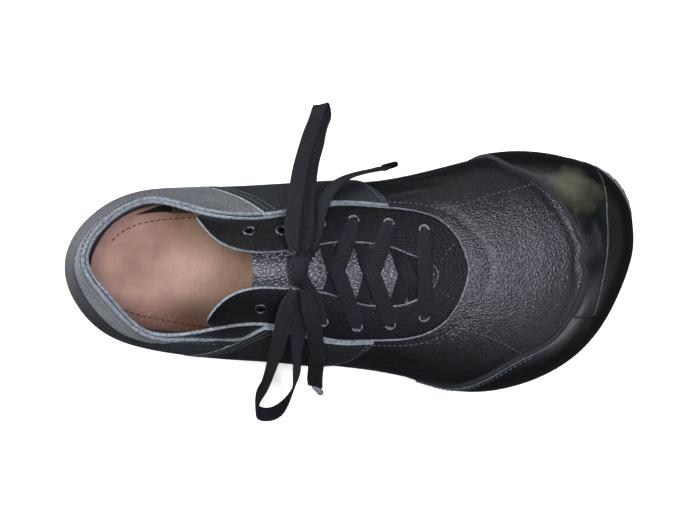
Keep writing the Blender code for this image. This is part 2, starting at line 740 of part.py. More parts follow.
def sole_rim(hour):
    """The outsole's edge, standing out past the upper, a little more round the toe."""
    toe = np.clip(1 - np.abs(hour - 12.2) / 3.4, 0, 1)[..., None]
    return feather(hour) + outward(feather, hour) * (SOLE_LIP + (TOE_LIP - SOLE_LIP) * np.sqrt(toe))


def zigzag(y):
    """The tread's wave across the sole, as a shift along it: hand-set corners, y and shift of HALF_WIDTH."""
    corners_y = np.array([-1.20, -0.86, -0.52, -0.22, 0.12, 0.44, 0.72, 1.20]) * HALF_WIDTH
    shifts = np.array([-0.10, 0.10, -0.12, 0.03, -0.13, 0.10, -0.08, 0.12]) * HALF_WIDTH
    return np.interp(y, corners_y, shifts), corners_y


def groove(x):
    """One zigzag groove across the sole as a closed cutter, deeper than the floor and wider than the sole."""
    corners_y = zigzag(0.0)[1]
    points = []
    for y in corners_y:
        for side in (-1, 1):
            at = x + zigzag(y)[0] + side * GROOVE_WIDTH / 2
            for z in (-0.002, GROOVE_DEPTH):
                points.append((at, y, z + float(spring(np.array(at)))))
    faces = [(0, 1, 3, 2), tuple(len(points) - 4 + k for k in (2, 3, 1, 0))]
    for k in range(len(corners_y) - 1):
        a, b = 4 * k, 4 * (k + 1)
        for p, q in ((0, 1), (1, 3), (3, 2), (2, 0)):
            faces.append((a + p, b + p, b + q, a + q))
    made = mesh_from("groove", points, faces)
    turned = bmesh.new()
    turned.from_mesh(made)
    bmesh.ops.recalc_face_normals(turned, faces=turned.faces)
    turned.to_mesh(made)
    turned.free()
    return made


def build_outsole():
    """A sheet sole with zigzag grooves right across it, flat under heel and ball and curled up at the toe."""

    def bottom(x, y, share):
        return spring(x)

    def top(x, y, share):
        return spring(x) + SOLE_THICKNESS

    made = plate("outsole", sole_rim, bottom, top, BLACK_RUBBER, shares=(1.0,))
    count = int((LENGTH + 0.010) / GROOVE_PITCH)
    first = -GROOVE_PITCH * (count - 1) / 2
    cut(made, [groove(first + GROOVE_PITCH * k) for k in range(count)])
    made.data.materials.clear()
    made.data.materials.append(material(*BLACK_RUBBER))
    return made


INSOLE_EDGE = 0.0005
INSOLE_RIM = 0.0016


def build_insole():
    """A footbed inside the upper's wall, dished up a little at its rim."""

    def rim(hour):
        return feather(hour) - outward(feather, hour) * (WALL + INSOLE_EDGE)

    def bottom(x, y, share):
        return spring(x) + SOLE_THICKNESS + GAP

    def top(x, y, share):
        return bottom(x, y, share) + INSOLE_THICKNESS + INSOLE_RIM * (share > 0.95)

    return plate("insole", rim, bottom, top, TAN_LEATHER, shares=(1.0, 0.88))


def ribbon(name, route, ups, look=BLACK_COTTON, width=LACE_WIDTH, thickness=LACE_THICKNESS):
    """A flat lace along a route, its face turned to the up vectors."""
    route, ups = np.asarray(route, float), np.asarray(ups, float)
    along = np.gradient(route, axis=0)
    along /= np.linalg.norm(along, axis=1, keepdims=True)
    side = np.cross(ups, along)
    side /= np.linalg.norm(side, axis=1, keepdims=True)
    up = np.cross(along, side)
    half, edge = width / 2, width / 2 - thickness * 0.4
    section = [(half, 0), (edge, 0.5), (-edge, 0.5), (-half, 0), (-edge, -0.5), (edge, -0.5)]
    count = len(section)
    points = [route[i] + side[i] * a + up[i] * b * thickness for i in range(len(route)) for a, b in section]
    faces = [tuple(reversed(range(count))), tuple(len(points) - count + k for k in range(count))]
    for i in range(len(route) - 1):
        for k in range(count):
            a, b = i * count, (i + 1) * count
            faces.append((a + k, a + (k + 1) % count, b + (k + 1) % count, b + k))
    return finish(name, mesh_from(name, points, faces), look)


# Heights of a lace's middle over the instep surface: on the facing and under it; and how two crossed laces part
LACE_ON = FACING_TOP + GAP + LACE_THICKNESS / 2
LACE_UNDER = FACING_BOTTOM - GAP - LACE_THICKNESS / 2
LACE_PART = 0.00045
EDGE_MARGIN = 0.0020


def lace_strand(name, start, end, start_height, end_height, lift):
    """A lace from hole to hole over the instep, level on or under each facing and eased between their edges."""
    start, end = np.asarray(start), np.asarray(end)
    shares = np.linspace(0, 1, 13)
    xy = start + (end - start) * shares[:, None]
    sides = np.stack(gap_sides(xy[:, 0]))
    near, far = (sides[0], sides[1]) if start[1] > end[1] else (sides[1], sides[0])
    inward = np.sign(far - near)
    run = (xy[:, 1] - near) * inward - EDGE_MARGIN
    across = np.clip(run / (np.abs(far - near) - 2 * EDGE_MARGIN), 0, 1)
    ease = across**2 * (3 - 2 * across)
    heights = start_height + (end_height - start_height) * ease + lift * np.sin(math.pi * across) ** 2
    route = over_instep(xy[:, 0], xy[:, 1], heights)
    ups = over_instep(xy[:, 0], xy[:, 1], heights + 0.001) - route
    return ribbon(name, route, ups)


def join(name, first, second):
    """Two crossing laces as one solid."""
    apply_boolean(first, second, "UNION")
    first.name = name
    first.data.name = name
    return first


def build_lacing():
    """The bar at the toe end, then the crossings: each lace comes up through its hole and dips under the far edge."""
    inner, outer = hole_points()
    lace_strand("lace_bar", inner[0], outer[0], LACE_ON, LACE_ON, 0.0)
    for k in range(PLAIN_PAIRS - 1):
        begin = LACE_UNDER if k == 0 else LACE_ON
        rise = 3 * LACE_PART if k == 0 else 0.0
        first = lace_strand("strand_a", inner[k], outer[k + 1], begin, LACE_UNDER, rise - LACE_PART)
        second = lace_strand("strand_b", outer[k], inner[k + 1], begin, LACE_UNDER, rise + LACE_PART)
        join(f"lace_cross_{k + 1}", first, second)


def place(shares):
    """Shares of length, half width and instep height as a point in metres."""
    shares = np.asarray(shares, float)
    along, across, up = np.moveaxis(shares, -1, 0)
    return np.stack([(along - 0.5) * LENGTH, across * HALF_WIDTH, up * INSTEP_HEIGHT], axis=-1)


def bow_lace(name, table, count):
    """A free flat lace, smooth through the places of its table."""
    table = np.asarray(table, float)
    points = place(table[:, :3])
    along = np.concatenate([[0], np.cumsum(np.linalg.norm(np.diff(points, axis=0), axis=1))])
    curve = Spline(np.column_stack([along, points, table[:, 3:]]))
    route = curve(np.linspace(0, along[-1], count))
    ways = np.gradient(route[:, :3], axis=0)
    return ribbon(name, route[:, :3], np.cross(ways, route[:, 3:]))


def aglet(name, table, way):
    """The stiff tip of a lace, just past its end."""
    end = place(table[-1][:3])
    way = np.array(way) / np.linalg.norm(way)
    made = cylinder_along(name, end, way, AGLET_RADIUS, AGLET_STEP, AGLET_STEP + AGLET_LENGTH, 10)
    return finish(name, made, CLEAR_PLASTIC)


def build_knot():
    """The knot, with the two laces that run up to it from the last plain pair of holes."""
    centre = place(KNOT_PLACE)
    work = bmesh.new()
    bmesh.ops.create_uvsphere(work, u_segments=10, v_segments=6, radius=0.5)
    bmesh.ops.scale(work, verts=work.verts, vec=KNOT_SIZE)
    bmesh.ops.translate(work, verts=work.verts, vec=centre)
    data = bpy.data.meshes.new("knot")
    work.to_mesh(data)
    work.free()
    made = finish("lace_knot", data, BLACK_COTTON)
    for side in hole_points():
        start = side[PLAIN_PAIRS - 1]
        xy = start + (centre[:2] - start) * np.linspace(0, 1, 7)[:, None]
        route = over_instep(xy[:, 0], xy[:, 1], np.full(7, LACE_ON))
        ups = over_instep(xy[:, 0], xy[:, 1], np.full(7, LACE_ON + 0.001)) - route
        apply_boolean(made, ribbon("riser", route, ups), "UNION")
    return made


def build_bow():
    build_knot()
    bow_lace("lace_loop_inner", LOOP_INNER, 30)
    bow_lace("lace_loop_outer", LOOP_OUTER, 30)
    bow_lace("lace_end_inner", END_INNER, 15)
    bow_lace("lace_end_outer", END_OUTER, 13)
    aglet("aglet_inner", END_INNER, AGLET_INNER_WAY)
    aglet("aglet_outer", END_OUTER, AGLET_OUTER_WAY)


BOW = ("lace_knot", "lace_loop_inner", "lace_loop_outer", "lace_end_inner", "lace_end_outer")
BOW += ("aglet_inner", "aglet_outer")


def centre_on_floor():
    """Moves every mesh so that the shoe without its bow stands with the middle of its box over the origin."""
    pieces = [o for o in bpy.context.scene.objects if o.name not in BOW]
    corners = np.array([list(v.co) for o in pieces for v in o.data.vertices])
    low, high = corners.min(axis=0), corners.max(axis=0)
    shift = Vector(((low[0] + high[0]) / -2, (low[1] + high[1]) / -2, -low[2]))
    for piece in bpy.context.scene.objects:
        for vertex in piece.data.vertices:
            vertex.co += shift


def clear_scene():
    for old in list(bpy.data.objects):
        bpy.data.objects.remove(old)


def main():
    clear_scene()
    build_outsole()
    build_insole()
    build_upper()
    build_heel_quarter()
    build_saddle("saddle_inner", SADDLE_INNER_BACK, SADDLE_INNER_FRONT)
    build_saddle("saddle_outer", SADDLE_OUTER_BACK, SADDLE_OUTER_FRONT)
    build_toe_cap()
    build_toe_rand()
    build_facing()
    build_tongue()
    inner, outer = hole_points()
    for k in range(PLAIN_PAIRS, len(inner)):
        build_eyelet(f"eyelet_inner_{k + 1}", *inner[k])
        build_eyelet(f"eyelet_outer_{k + 1}", *outer[k])
    build_lacing()
    build_bow()
    centre_on_floor()


main()
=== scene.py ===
"""Looks of a low black leather barefoot shoe for the right foot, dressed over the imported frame.

Metres, +X to the toe, +Y to the inner side, +Z up. Hours go round the shoe as on a 24-hour clock seen from
above: 0 is the back of the heel, 6 the inner side, 12 the toe and 18 the outer side. Level 0 is where the
upper meets the sole, level 1 the cut edge of collar and throat, and level 2 the edge of the lacing gap.
"""

import math

import bmesh
import bpy
import numpy as np
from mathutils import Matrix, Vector


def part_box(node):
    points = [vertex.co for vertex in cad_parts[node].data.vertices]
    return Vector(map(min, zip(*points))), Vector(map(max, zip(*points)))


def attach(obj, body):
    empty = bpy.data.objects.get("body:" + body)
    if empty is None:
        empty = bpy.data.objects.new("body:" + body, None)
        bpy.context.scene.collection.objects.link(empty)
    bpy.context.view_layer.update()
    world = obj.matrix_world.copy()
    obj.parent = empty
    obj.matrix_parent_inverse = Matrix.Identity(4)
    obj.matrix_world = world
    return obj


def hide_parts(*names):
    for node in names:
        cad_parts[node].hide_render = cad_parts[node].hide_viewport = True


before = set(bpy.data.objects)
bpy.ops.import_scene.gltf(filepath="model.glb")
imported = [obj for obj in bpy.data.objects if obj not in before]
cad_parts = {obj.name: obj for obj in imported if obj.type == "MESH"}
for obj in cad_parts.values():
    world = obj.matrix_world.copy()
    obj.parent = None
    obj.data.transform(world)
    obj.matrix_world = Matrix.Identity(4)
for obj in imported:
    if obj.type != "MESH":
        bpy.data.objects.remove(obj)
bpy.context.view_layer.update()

# Sizes of the last and of the leather, as in the part
LENGTH = 0.2735
HALF_WIDTH = 0.056
HEEL_HEIGHT = 0.066
INSTEP_HEIGHT = 0.0845
TOE_SPRING = 0.007
SPRING_START = 0.70
SOLE_THICKNESS = 0.0062
INSOLE_THICKNESS = 0.0030
WALL = 0.0016
OVERLAY = 0.0016
RAND = 0.0009
FACING_THICKNESS = 0.0020
TONGUE_THICKNESS = 0.0018
GAP = 0.0003
SOLE_LIP = 0.0021
TOE_LIP = 0.0032
LACE_WIDTH = 0.0078
LACE_THICKNESS = 0.0011
LACE_RIB = 0.00115
HOLE_RADIUS = 0.0023
AGLET_LENGTH = 0.0110
AGLET_RADIUS = 0.0017
AGLET_STEP = 0.0007
HOURS = 24
SUNK = 0.0002
ROUTE_STEP = 0.0004
YARN_PITCH = 0.0013
STITCH_REST = 0.00008
FACING_TOP = -(WALL + 0.00005)
FACING_BOTTOM = FACING_TOP - 0.00035 - FACING_THICKNESS
LACE_ON = FACING_TOP + LACE_THICKNESS / 2
LACE_UNDER = FACING_BOTTOM - 0.0001 - LACE_THICKNESS / 2
LACE_PART = 0.0007
TUCK_LEVEL = 0.16
TONGUE_TOP = LACE_UNDER - LACE_THICKNESS / 2 - 0.0003
TONGUE_BACK = 0.318
TONGUE_HOLLOW = 0.014
TONGUE_FRONT = 0.672
TONGUE_TUCK = 0.0075
RIB_HEIGHT = 0.0017
RIB_PERIOD = 0.0064
TREAD_BORDER = 0.0026

# The leather's grain is stretched across the shoe by these shares
GRAIN_WAY = (0.8, 1.25, 1.0)

# Places in the frame: the painted olive reflection on the toe cap and how it is stretched, the footbed's
# rubbed place, partly painted light, and the scuff
OLIVE_REFLECTION_PLACE = (0.0845, 0.0375, 0.018)
OLIVE_REFLECTION_SHAPE = (0.80, 1.0, 0.6)
RUBBED_AND_LIT_PLACE = (-0.070, 0.002, 0.009)
SCUFF_PLACE = (0.127, 0.040, 0.010)

# Soft boxes: name, place, width and depth in metres, watts and colour
SOFT_BOXES = [
    ("rear_window", (-1.25, 0.75, 0.70), 1.2, 0.8, 36.0, "#fbfdff"),
    ("overhead_front", (0.52, -0.01, 1.50), 0.38, 0.42, 20.0, "#e6e8ff"),
    ("overhead_heel", (-0.12, 0.05, 1.75), 0.35, 0.35, 14.0, "#fff8f2"),
    ("low_front", (0.95, -0.75, 0.50), 0.5, 0.5, 2.5, "#eef0ff"),
    ("inner_fill", (0.35, 1.25, 0.62), 0.8, 0.5, 2.0, "#f4f6ff"),
]

# Half of the lace's cross-section, as shares of half its width and of its thickness
LACE_SHOULDER = [(0.96, 0.34), (0.84, 0.5), (0.45, 0.52), (0.0, 0.5)]
LACE_SHOULDER += [(-0.45, 0.52), (-0.84, 0.5), (-0.96, 0.34)]

# Turns of the knot: shift along, half its length across, half its height, lean and width
KNOT_TURNS = [
    (0.0, 0.0058, 0.0039, 0.25, 0.0064),
    (0.0012, 0.0064, 0.0030, 0.6, 0.0058),
    (-0.0012, 0.0062, 0.0028, -0.5, 0.0060),
]

# The tread's zigzag as shares of HALF_WIDTH: y and shift; then a rib's section: side, height and spread
ZIGZAG = [(-1.20, -0.12), (-0.92, 0.11), (-0.66, -0.12), (-0.40, 0.10), (-0.14, -0.11)]
ZIGZAG += [(0.10, 0.12), (0.36, -0.12), (0.60, 0.11), (0.84, -0.12), (1.10, 0.12)]
RIB_ROOT = RIB_HEIGHT + 0.0004
RIB_SECTION = [(-1, 0.0, 0.86), (1, 0.0, 0.86), (1, RIB_ROOT, 1.12), (-1, RIB_ROOT, 1.12)]

# The outsole's side from below, as how far it stands out and height; the footbed's, as share and height
SOLE_SIDE = [(-0.0009, RIB_HEIGHT), (-0.0009, 0.0002), (-0.0004, 0.0), (-0.0001, 0.0003), (-0.0001, 0.0022)]
SOLE_SIDE += [(-0.0005, 0.0027), (-0.0001, 0.0032), (0.0, SOLE_THICKNESS - 0.0005), (-0.0005, SOLE_THICKNESS)]
BED_SIDE = [(0.80, 0.0001), (0.992, 0.0001), (1.0, 0.0012), (0.995, 0.0025), (0.98, 0.0030), (0.70, 0.0030)]

# Seams on the vamp, as hours and levels, and short seams on the eyestay, as x and y in metres
VAMP_SEAMS = [
    [(8.0, 0.95), (8.45, 0.91), (8.85, 0.83), (9.10, 0.74), (9.35, 0.66), (9.5, 0.57)],
    [(15.05, 0.96), (14.9, 0.93), (14.75, 0.86), (14.68, 0.76), (14.8, 0.57)],
]
STAY_SEAMS = [((0.0443, 0.0059), (0.0497, 0.0128)), ((0.0443, -0.0110), (0.0497, -0.0140))]

# The feather line: hour, x as a share of LENGTH from the heel, y as a share of HALF_WIDTH
FEATHER = [
    (0, 0.000, 0.01), (1, 0.049, 0.46), (2, 0.135, 0.63), (3, 0.243, 0.66), (4, 0.351, 0.64),
    (5, 0.460, 0.67), (6, 0.569, 0.75), (7, 0.685, 0.89), (8, 0.783, 1.00), (9, 0.872, 0.98),
    (10, 0.947, 0.84), (11, 0.990, 0.58), (12, 1.000, 0.31), (13, 0.991, 0.03), (14, 0.945, -0.46),
    (15, 0.871, -0.81), (16, 0.784, -0.98), (17, 0.695, -1.00), (18, 0.570, -0.88), (19, 0.460, -0.80),
    (20, 0.351, -0.75), (21, 0.243, -0.71), (22, 0.135, -0.62), (23, 0.049, -0.46),
]

# The cut edge of collar and throat: hour, x and y
TOPLINE = [
    (0, 0.037, 0.07), (1, 0.067, 0.39), (2, 0.143, 0.60), (3, 0.236, 0.51), (4, 0.350, 0.46),
    (5, 0.453, 0.56), (6, 0.533, 0.56), (7, 0.598, 0.53), (8, 0.645, 0.47), (9, 0.674, 0.37),
    (10, 0.692, 0.25), (11, 0.702, 0.13), (12, 0.707, 0.04), (13, 0.706, -0.05), (14, 0.694, -0.24),
    (15, 0.667, -0.44), (16, 0.632, -0.55), (17, 0.587, -0.60), (18, 0.525, -0.61), (19, 0.453, -0.59),
    (20, 0.351, -0.47), (21, 0.243, -0.53), (22, 0.143, -0.54), (23, 0.078, -0.24),
]

# The collar's height as a share of HEEL_HEIGHT, with hours counted on past 24
COLLAR = [
    (20.0, 1.00), (21.0, 0.86), (22.0, 0.865), (23.0, 0.98), (24.0, 1.00), (25.0, 0.97), (26.0, 0.87),
    (27.0, 0.86), (28.0, 1.00),
]

# The edge of the lacing gap: hour, x, y
LACING_GAP = [
    (3.0, 0.229, 0.482), (3.4, 0.249, 0.365), (3.7, 0.268, 0.28), (4.1, 0.309, 0.195),
    (4.6, 0.378, 0.18), (5.2, 0.459, 0.25), (5.8, 0.508, 0.26), (6.6, 0.557, 0.23), (8.0, 0.599, 0.16),
    (10.0, 0.634, 0.09), (12.3, 0.655, -0.03), (14.5, 0.634, -0.21), (16.0, 0.592, -0.31),
    (17.3, 0.543, -0.32), (18.2, 0.501, -0.28), (19.0, 0.450, -0.20), (19.6, 0.378, -0.165),
    (20.0, 0.327, -0.175), (20.3, 0.294, -0.23), (20.6, 0.270, -0.32), (20.75, 0.257, -0.39),
    (20.9, 0.248, -0.46),
]

# Walls: hour, then as shares of HEEL_HEIGHT how far the foot leans out and up, and the top out and down
WALLS = [
    (0, 0.135, 0.30, 0.12, 0.36), (1, 0.105, 0.27, 0.08, 0.33), (3, 0.120, 0.27, 0.09, 0.33),
    (4, 0.150, 0.30, 0.21, 0.33), (5, 0.135, 0.30, 0.17, 0.16), (6, 0.090, 0.31, 0.18, 0.12),
    (7, 0.075, 0.33, 0.27, 0.13), (8, 0.075, 0.34, 0.40, 0.13), (10, 0.075, 0.37, 0.66, 0.14),
    (12, 0.075, 0.38, 0.78, 0.15), (14, 0.075, 0.36, 0.64, 0.14), (16, 0.075, 0.32, 0.34, 0.14),
    (17, 0.075, 0.31, 0.25, 0.14), (18, 0.080, 0.30, 0.17, 0.13), (19, 0.085, 0.30, 0.17, 0.16),
    (20, 0.095, 0.30, 0.18, 0.33), (21, 0.105, 0.27, 0.09, 0.33), (22, 0.105, 0.27, 0.06, 0.30),
    (23, 0.120, 0.27, 0.12, 0.36),
]

# The instep: x, crest height as a share of INSTEP_HEIGHT, crest radius and y as shares of HALF_WIDTH
INSTEP = [
    (0.20, 0.96, 0.34, 0.00), (0.35, 1.00, 0.38, 0.00), (0.45, 0.905, 0.60, -0.01),
    (0.53, 0.825, 0.80, -0.02), (0.62, 0.735, 0.98, -0.02), (0.72, 0.630, 1.25, -0.01),
]

# Upper edges of the toe cap and of the rand over it, as levels by hour
CAP_EDGE = [
    (7.2, 0.04), (7.7, 0.26), (8.5, 0.48), (9.2, 0.53), (9.9, 0.56), (10.6, 0.57), (11.2, 0.575),
    (11.7, 0.57), (12.1, 0.555), (12.35, 0.57), (12.6, 0.55), (13.0, 0.525), (13.5, 0.505),
    (14.0, 0.50), (14.4, 0.51), (14.7, 0.54), (15.0, 0.56), (15.4, 0.54), (15.85, 0.49), (16.3, 0.43),
    (16.7, 0.36), (17.2, 0.22), (17.8, 0.04),
]
RAND_EDGE = [
    (9.6, 0.04), (10.0, 0.17), (10.4, 0.27), (10.8, 0.345), (11.7, 0.41), (12.6, 0.425), (13.3, 0.395),
    (13.8, 0.34),
]
RAND_CORNER = 13.76
RAND_END = 17.6

# The leaning ends of the saddle panels as hours by level, and the top of the heel quarter as levels by hour
SADDLE_INNER_BACK = [(0.0, 2.45), (0.35, 2.95), (0.7, 3.55), (1.0, 4.02)]
SADDLE_INNER_FRONT = [(0.0, 4.75), (0.35, 5.30), (0.7, 5.90), (1.0, 6.45)]
SADDLE_OUTER_FRONT = [(0.0, 19.70), (0.4, 19.15), (0.7, 18.45), (1.0, 17.80)]
SADDLE_OUTER_BACK = [(0.0, 21.80), (0.35, 21.30), (0.7, 20.60), (1.0, 19.98)]
HEEL_QUARTER_TOP = [
    (20.0, 0.95), (20.2, 0.86), (20.5, 0.79), (20.9, 0.81), (21.3, 0.90), (21.7, 0.955), (22.4, 0.968),
    (24.0, 0.975), (26.0, 0.98), (28.1, 0.98),
]
SADDLE_TOP = 0.985

# Grooves pressed round the heel, from the collar down: hour counted on past 24, then three levels
HEEL_GROOVES = [
    (20.3, 0.81, 0.79, 0.75), (20.7, 0.79, 0.75, 0.68), (21.2, 0.83, 0.75, 0.62),
    (21.8, 0.88, 0.79, 0.58), (22.5, 0.90, 0.81, 0.58), (23.2, 0.91, 0.825, 0.64),
    (24.0, 0.93, 0.865, 0.74), (25.0, 0.95, 0.91, 0.86), (25.8, 0.965, 0.95, 0.93),
]

# How far the footbed's edge stays inside the feather line, in metres by hour: the gap shows at heel and sides
BED_INSET = [
    (0, 0.0062), (0.5, 0.0056), (1, 0.0046), (1.5, 0.0038), (2.0, 0.0028), (2.22, 0.0024),
    (2.3, 0.0076), (2.6, 0.0080), (3.0, 0.0086), (3.6, 0.0088), (4.4, 0.0060), (5.2, 0.0030),
    (12, 0.0026), (18.8, 0.0030), (19.8, 0.0060), (20.4, 0.0090), (21, 0.0090), (21.5, 0.0064),
    (22, 0.0050), (22.6, 0.0042), (23.3, 0.0048),
]

# A black sheet over the footbed, painted shade in the slit between lining and footbed, in metres: four places
# on its lower side, then four on its upper
SLIT_SHADE_SHEET = [
    (-0.1074, 0.0275), (-0.1010, 0.0284), (-0.0944, 0.0290), (-0.0900, 0.0288), (-0.1074, 0.0277),
    (-0.1010, 0.0302), (-0.0944, 0.0326), (-0.0900, 0.0340),
]

# Lace holes from the toe back: x and y; the last two pairs carry metal eyelets
HOLES_INNER = [(0.630, 0.36), (0.567, 0.42), (0.505, 0.45), (0.447, 0.42), (0.381, 0.36), (0.323, 0.36)]
HOLES_OUTER = [
    (0.630, -0.41), (0.570, -0.48), (0.511, -0.50), (0.451, -0.46), (0.400, -0.38), (0.343, -0.35),
]
PLAIN_PAIRS = 4

# Routes of the bow's laces: x of LENGTH, y of HALF_WIDTH and z of INSTEP_HEIGHT, then the way its width lies
LOOP_INNER = [
    (0.402, 0.161, 0.975, 1, 0, 0), (0.398, 0.304, 0.954, 1, 0, 0), (0.400, 0.482, 0.897, 1, 0, 0),
    (0.404, 0.643, 0.822, 1, 0, 0), (0.409, 0.839, 0.692, 1, 0.05, 0), (0.418, 1.045, 0.503, 1, 0.1, 0),
    (0.429, 1.250, 0.284, 1, 0.15, 0), (0.440, 1.420, 0.101, 1, 0.2, 0),
    (0.446, 1.475, 0.036, 1, 0.2, 0.05), (0.449, 1.420, 0.019, 1, 0.2, 0.1),
    (0.445, 1.295, 0.101, 1, 0.15, 0.1), (0.437, 1.107, 0.290, 1, 0.1, 0),
    (0.429, 0.938, 0.485, 1, 0.05, 0), (0.425, 0.777, 0.657, 1, 0, 0), (0.422, 0.625, 0.783, 1, 0, 0),
    (0.422, 0.482, 0.854, 1, 0, 0), (0.421, 0.304, 0.918, 1, 0, 0), (0.418, 0.161, 0.954, 1, 0, 0),
]
LOOP_OUTER = [
    (0.401, -0.161, 0.956, 1, 0.1, 0), (0.391, -0.277, 0.952, 1, 0.2, 0),
    (0.383, -0.420, 0.914, 1, 0, 0.1), (0.375, -0.585, 0.835, 0.85, -0.3, 0.2),
    (0.365, -0.732, 0.692, 0.6, -0.65, 0.4), (0.354, -0.884, 0.515, 0.4, -0.8, 0.4),
    (0.340, -1.045, 0.296, 0.2, -0.85, 0.45), (0.327, -1.188, 0.101, 0.1, -0.85, 0.45),
    (0.332, -1.282, 0.032, 0, -0.85, 0.45), (0.355, -1.286, 0.030, 0, -0.85, 0.45),
    (0.380, -1.189, 0.059, -0.1, -0.8, 0.5), (0.395, -1.045, 0.195, -0.3, -0.8, 0.45),
    (0.402, -0.945, 0.410, -0.40, -0.80, 0.4), (0.404, -0.835, 0.615, -0.45, -0.80, 0.4),
    (0.406, -0.680, 0.768, -0.55, -0.70, 0.3), (0.408, -0.490, 0.848, -0.95, -0.3, 0.1),
    (0.411, -0.321, 0.903, -1, 0, 0), (0.414, -0.161, 0.938, -1, 0, 0),
]
END_INNER = [
    (0.429, 0.161, 0.934, 1, -0.1, 0.1), (0.436, 0.312, 0.892, 1, 0, 0.1),
    (0.444, 0.482, 0.831, 1, 0.1, 0.3), (0.457, 0.634, 0.769, 1, 0, 0.5),
    (0.478, 0.759, 0.675, 1, 0, 0.6), (0.507, 0.832, 0.527, 1, 0, 0.6),
    (0.531, 0.868, 0.367, 1, 0, 0.4), (0.549, 0.893, 0.210, 1, 0, 0.3),
    (0.559, 0.911, 0.128, 1, 0, 0.3),
]
END_OUTER = [
    (0.419, -0.161, 0.985, 1, 0, 0), (0.427, -0.304, 0.958, 1, 0, 0), (0.434, -0.464, 0.893, 1, 0, 0),
    (0.438, -0.616, 0.797, 1, 0, 0), (0.438, -0.759, 0.644, 1, 0, 0), (0.436, -0.875, 0.450, 1, 0, 0),
    (0.434, -0.964, 0.272, 1, -0.1, 0), (0.434, -1.030, 0.152, 1, -0.3, 0),
]
AGLET_INNER_WAY = (0.55, 0.20, -0.80)
AGLET_OUTER_WAY = (0.25, -0.35, -0.90)
KNOT_PLACE = (0.411, 0.0, 0.943)

# Creases: places as hours and levels, then width and depth in metres; a ridge has a negative depth
CREASES = [
    ([(8.7, 0.66), (10.2, 0.78), (12.0, 0.80), (14.0, 0.77), (15.6, 0.66)], 0.0080, 0.0002),
    ([(8.9, 0.50), (10.4, 0.64), (12.1, 0.67), (13.9, 0.62), (15.2, 0.52)], 0.0080, 0.0002),
    ([(6.5, 0.90), (6.95, 0.86), (7.4, 0.83)], 0.0016, 0.0006),
    ([(6.3, 0.78), (6.9, 0.72), (7.6, 0.72)], 0.0028, 0.0006),
    ([(6.0, 0.60), (6.7, 0.50), (7.5, 0.46)], 0.0040, 0.0007),
    ([(17.7, 0.86), (17.3, 0.76), (16.8, 0.70)], 0.0025, 0.0006),
    ([(18.0, 0.62), (17.2, 0.52), (16.4, 0.50)], 0.0040, 0.0006),
    ([(10.6, 0.40), (11.6, 0.44), (12.5, 0.42)], 0.0035, -0.0005),
    ([(9.3, 0.16), (9.9, 0.24), (10.8, 0.30)], 0.0040, 0.0005),
    ([(13.4, 0.40), (14.2, 0.34), (14.9, 0.24)], 0.0040, 0.0004),
    ([(6.8, 0.945), (8.6, 0.94), (10.4, 0.935), (12.2, 0.93), (14.2, 0.935), (16.6, 0.945)], 0.0022, 0.0004),
    ([(7.6, 0.28), (8.3, 0.49), (9.2, 0.562), (10.2, 0.598), (11.5, 0.610)], 0.0020, 0.0006),
    ([(11.0, 0.608), (12.1, 0.592), (12.6, 0.588), (13.2, 0.55), (14.0, 0.535)], 0.0020, 0.0006),
    ([(13.6, 0.54), (14.4, 0.545), (15.0, 0.595), (15.85, 0.525), (16.6, 0.415)], 0.0020, 0.0006),
]


class Spline:
    """A natural cubic spline through rows of a knot and its values; with wrap it goes round the clock."""

    def __init__(self, rows, wrap=False):
        table = np.array([tuple(float(value) for value in row) for row in rows])
        if wrap:
            day = np.zeros(table.shape[1])
            day[0] = HOURS
            table = np.concatenate([table[-4:] - day, table, table[:4] + day])
        self.wrap = wrap
        self.knots, self.values = table[:, 0], table[:, 1:]
        step = np.diff(self.knots)[:, None]
        rise = np.diff(self.values, axis=0) / step
        matrix, right = np.eye(len(table)), np.zeros_like(self.values)
        for i in range(1, len(table) - 1):
            matrix[i, i - 1 : i + 2] = step[i - 1, 0], 2 * (step[i - 1, 0] + step[i, 0]), step[i, 0]
            right[i] = 6 * (rise[i] - rise[i - 1])
        self.bends = np.linalg.solve(matrix, right)

    def __call__(self, at):
        at = np.asarray(at, float)
        at = np.mod(at, HOURS) if self.wrap else np.clip(at, self.knots[0], self.knots[-1])
        i = np.clip(np.searchsorted(self.knots, at, side="right") - 1, 0, len(self.knots) - 2)
        step = (self.knots[i + 1] - self.knots[i])[..., None]
        b = (at - self.knots[i])[..., None] / step
        a = 1 - b
        bend = (a**3 - a) * self.bends[i] + (b**3 - b) * self.bends[i + 1]
        return a * self.values[i] + b * self.values[i + 1] + bend * step**2 / 6


feather_shares, topline_shares = Spline(FEATHER, wrap=True), Spline(TOPLINE, wrap=True)
wall_shares = Spline(WALLS, wrap=True)
gap_shares, instep_shares, collar_shares = [Spline(table) for table in (LACING_GAP, INSTEP, COLLAR)]
cap_edge, rand_edge, heel_quarter_top = [Spline(table) for table in (CAP_EDGE, RAND_EDGE, HEEL_QUARTER_TOP)]


def unit(vectors):
    return vectors / np.linalg.norm(vectors, axis=-1, keepdims=True)


def plan(shares):
    """Shares along and across the last as x and y in metres, with x from the middle of the shoe."""
    return np.stack([(shares[..., 0] - 0.5) * LENGTH, shares[..., 1] * HALF_WIDTH], axis=-1)


def share_along(x):
    return x / LENGTH + 0.5


def spring(x):
    """How far the sole has curled up from the floor at x."""
    return TOE_SPRING * np.clip((share_along(x) - SPRING_START) / (1 - SPRING_START), 0, None) ** 2


def feather(hour):
    return plan(feather_shares(hour))


def topline(hour):
    return plan(topline_shares(hour))


def outward(curve, hour):
    """Unit vectors in plan that point out of a curve which runs clockwise round the shoe."""
    along = curve(hour + 0.02) - curve(hour - 0.02)
    return unit(np.stack([-along[..., 1], along[..., 0]], axis=-1))


